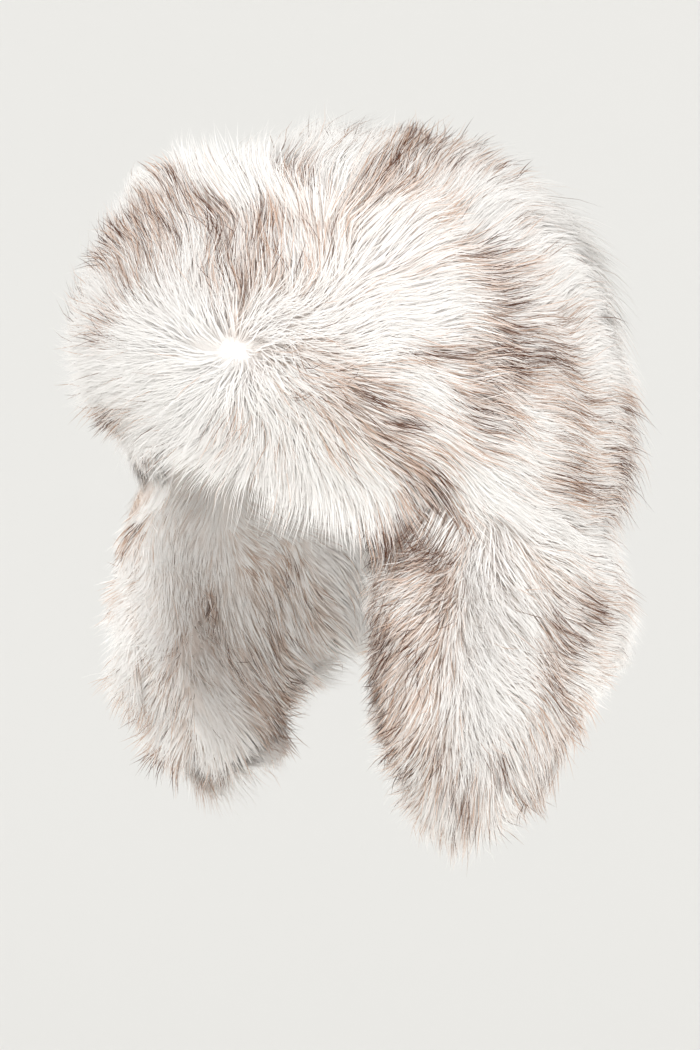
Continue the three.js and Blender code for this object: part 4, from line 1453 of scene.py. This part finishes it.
def front_flap_edge(u, v):
    """A strip round the flap's rim, from its face to its back. u goes right round, and v across."""
    at = np.interp(u, [0, 0.2, 0.5, 0.7, 1], [0, 1, 2, 3, 4])
    across = np.interp(at, [0, 1, 2, 3, 4], [-0.97, -0.97, 0.97, 0.97, -0.97])
    up = np.interp(at, [0, 1, 2, 3, 4], [0.02, 0.97, 0.97, 0.02, 0.02])
    face = front_flap_depths(across, up)[1]
    return front_flap_place(across, up, lerp(face, FLAP_CLOTH + 0.6, v))


def from_the_flap(point, u, v):
    middle = front_flap_place(np.zeros_like(u), np.full_like(u, 0.5), np.full_like(u, FLAP_CLOTH))
    return point - middle


def thicker_at_whorl(place):
    """The hair parts at the whorl, so that more of it must grow there to hide the backing."""
    return 1 + 0.8 * charted(TOUSLED, place, np.zeros_like(place))


FRONT_EDGE_HAIRS = 6000
rng = np.random.default_rng(23)
front_hair = grow(front_flap_skin, FRONT_HAIRS, FRONT_HAIR_LENGTH, dome_out, front_lie, rng,
                  keep=thicker_at_whorl)
front_hair += grow(front_flap_edge, FRONT_EDGE_HAIRS, 0.8 * FRONT_HAIR_LENGTH, dome_out, front_lie, rng,
                   facing_at=from_the_flap)
across, up = np.linspace(0, 1, 61), np.linspace(0, 1, 19)
front_outer = skin_grid(front_flap_skin, across, up)
front_inner = skin_grid(
    lambda u, v: front_flap_place(lerp(-0.97, 0.97, u), lerp(0.02, 0.97, v),
                                  np.full(len(u), FLAP_CLOTH + 0.6)), across, up)
shell = tidy(shell_mesh("front_flap_fur_pile", front_outer, front_inner, False, FUR))
fur_piece(shell, front_hair, "front_flap_fur", rng)

# %% [markdown]
# ## The ear flaps and the neck flap
# The band is furred on both faces, so each flap has two skins, and its hair is grown on both. The inner
# fur is shorter, and pressed flat where the head would be.

# %% Grow the flaps' fur
EAR_HAIRS = (16000, 9500, 6500)
NECK_HAIRS = (6500, 3000, 3000)
EAR_HAIR_LENGTH, INSIDE_HAIR_LENGTH = 36, 28
FLAPS = {
    # name: first angle, last angle, hairs outside, inside and round the edge, which ends are free
    "ear_flap_left": (EAR_FUR_FRONT, NECK_SEAM - 0.1, EAR_HAIRS, (0,)),
    "ear_flap_right": (2 * BACK - NECK_SEAM + 0.1, 2 * BACK - EAR_FUR_FRONT, EAR_HAIRS, (1,)),
    "neck_flap": (NECK_SEAM + 0.1, 2 * BACK - NECK_SEAM - 0.1, NECK_HAIRS, ()),
}


def band_edge(start, end, free):
    """A strip round a flap's free edge, from its outer face to its inner one, and the way off the edge."""
    outside, inside = band_skin(start, end, "outside"), band_skin(start, end, "inside")
    path = [(0.0, 1.0), (1.0, 1.0)]
    if free == (0,):
        path = [(0.0, 0.1)] + path
    if free == (1,):
        path = path + [(1.0, 0.1)]
    stops = np.linspace(0, 1, len(path))

    def along(u):
        return np.interp(u, stops, [p[0] for p in path]), np.interp(u, stops, [p[1] for p in path])

    def strip(u, v):
        a, b = along(u)
        return lerp(outside(a, b), inside(a, b), v[:, None])

    def off_the_edge(point, u, v):
        a, b = along(u)
        inner_a, inner_b = lerp(a, 0.5, 0.06), lerp(b, 0.5, 0.06)
        return (outside(a, b) + inside(a, b)) / 2 - (outside(inner_a, inner_b) + inside(inner_a, inner_b)) / 2

    return strip, off_the_edge


def thicker_in_front(place):
    """The hair inside an ear flap falls away from its front edge, which would be left thin."""
    return 1 + 2.2 * smooth((-42 - place[:, 1]) / 24)


rng = np.random.default_rng(37)
for name, (start, end, (outside, inside, round_edge), free) in FLAPS.items():
    outer_skin = band_skin(start, end, "outside")
    inner_skin = band_skin(start, end, "inside")
    edge_skin, off_the_edge = band_edge(start, end, free)
    lean = band_lean(start, end)
    hair = grow(outer_skin, outside, EAR_HAIR_LENGTH, kept_out, ear_lie(EAR_COMBED_OUTSIDE), rng, lean_at=lean)
    hair += grow(inner_skin, inside, INSIDE_HAIR_LENGTH, kept_out, ear_lie(EAR_COMBED_INSIDE), rng,
                 facing_at=to_the_head, keep=thicker_in_front, lean_at=lean)
    hair += grow(edge_skin, round_edge, 0.9 * EAR_HAIR_LENGTH, kept_out, ear_lie(EAR_COMBED_EDGE, as_charted), rng,
                 facing_at=off_the_edge)
    across, down = np.linspace(0, 1, 41), np.linspace(0, 1, 25)
    shell = shell_mesh(f"{name}_fur_pile", skin_grid(outer_skin, across, down),
                       skin_grid(inner_skin, across, down), False, FUR)
    fur_piece(tidy(shell), hair, f"{name}_fur", rng)

# %% [markdown]
# ## Floor and light
# The hat hangs in the air over a pale floor that curves up behind it. The light is soft and comes from
# everywhere, a little more from the upper left, as in a catalogue picture.

# %% Build the studio
STUDIO = (0.738, 0.734, 0.716)


def paper_material():
    """One-sided paper: it can't be seen from behind or from below, so the hat can be viewed from there."""
    material = plain_material("studio_paper", STUDIO)
    tree = material.node_tree
    inside = add_node(tree, "ShaderNodeNewGeometry").outputs["Backfacing"]
    clear = add_node(tree, "ShaderNodeBsdfTransparent").outputs["BSDF"]
    either = add_node(tree, "ShaderNodeMixShader")
    tree.links.new(inside, either.inputs[0])
    tree.links.new(clear, either.inputs[1])
    tree.links.new(tree.nodes["Principled BSDF"].outputs["BSDF"], either.inputs[2])
    tree.links.new(either.outputs[0], tree.nodes["Material Output"].inputs["Surface"])
    return material


def studio_floor():
    """A floor that sweeps up into a wall, in one sheet, far from the hat."""
    profile = [(-4000, -600), (600, -600)]
    profile += [(600 + 1500 * math.sin(t), 900 - 1500 * math.cos(t)) for t in np.linspace(0.1, math.pi / 2, 16)]
    profile += [(2100, 5000)]
    back = direction(CAMERA_AZIMUTH, 0)
    side = np.array((math.cos(math.radians(CAMERA_AZIMUTH)), math.sin(math.radians(CAMERA_AZIMUTH)), 0))
    rows = []
    for away, z in profile:
        middle = -np.array(back) * away + (0, 0, z)
        rows.append([middle - side * 5000, middle + side * 5000])
    points = np.array(rows)
    piece = mesh_object("studio_floor", points.reshape(-1, 3), grid_faces(len(rows), 2, False),
                        paper_material())
    for face in piece.data.polygons:
        face.use_smooth = True


def area_light(name, azimuth, elevation, distance, size, power, colour=(1, 1, 1)):
    lamp = bpy.data.lights.new(name, "AREA")
    lamp.shape = "DISK"
    lamp.size = size
    lamp.energy = power
    lamp.color = colour
    light = bpy.data.objects.new(name, lamp)
    towards = direction(azimuth, elevation)
    light.location = towards * distance
    light.rotation_euler = towards.to_track_quat("Z", "Y").to_euler()
    bpy.context.collection.objects.link(light)


def world(strength):
    sky = bpy.data.worlds.new("studio")
    sky.use_nodes = True
    sky.node_tree.nodes["Background"].inputs["Color"].default_value = (1, 0.995, 0.985, 1)
    sky.node_tree.nodes["Background"].inputs["Strength"].default_value = strength
    bpy.context.scene.world = sky


studio_floor()
world(0.95)
area_light("key", CAMERA_AZIMUTH - 50, 45, 2.2, 1.6, 10)
area_light("fill", CAMERA_AZIMUTH + 55, 20, 2.6, 2.0, 18)
area_light("front", CAMERA_AZIMUTH - 4, 2, 2.4, 1.6, 19)
bpy.context.scene.view_settings.view_transform = "Standard"

# %% Dress the cloth walls
BACKING = (0.74, 0.69, 0.63)
backing = cloth_material("backing_cloth", BACKING, 0.9, 0.8)
for name, node in frame["nodes"].items():
    if name.endswith("_wall"):
        node.data.materials.clear()
        node.data.materials.append(backing)
print("cloth walls:", [name for name in frame["nodes"] if name.endswith("_wall")])
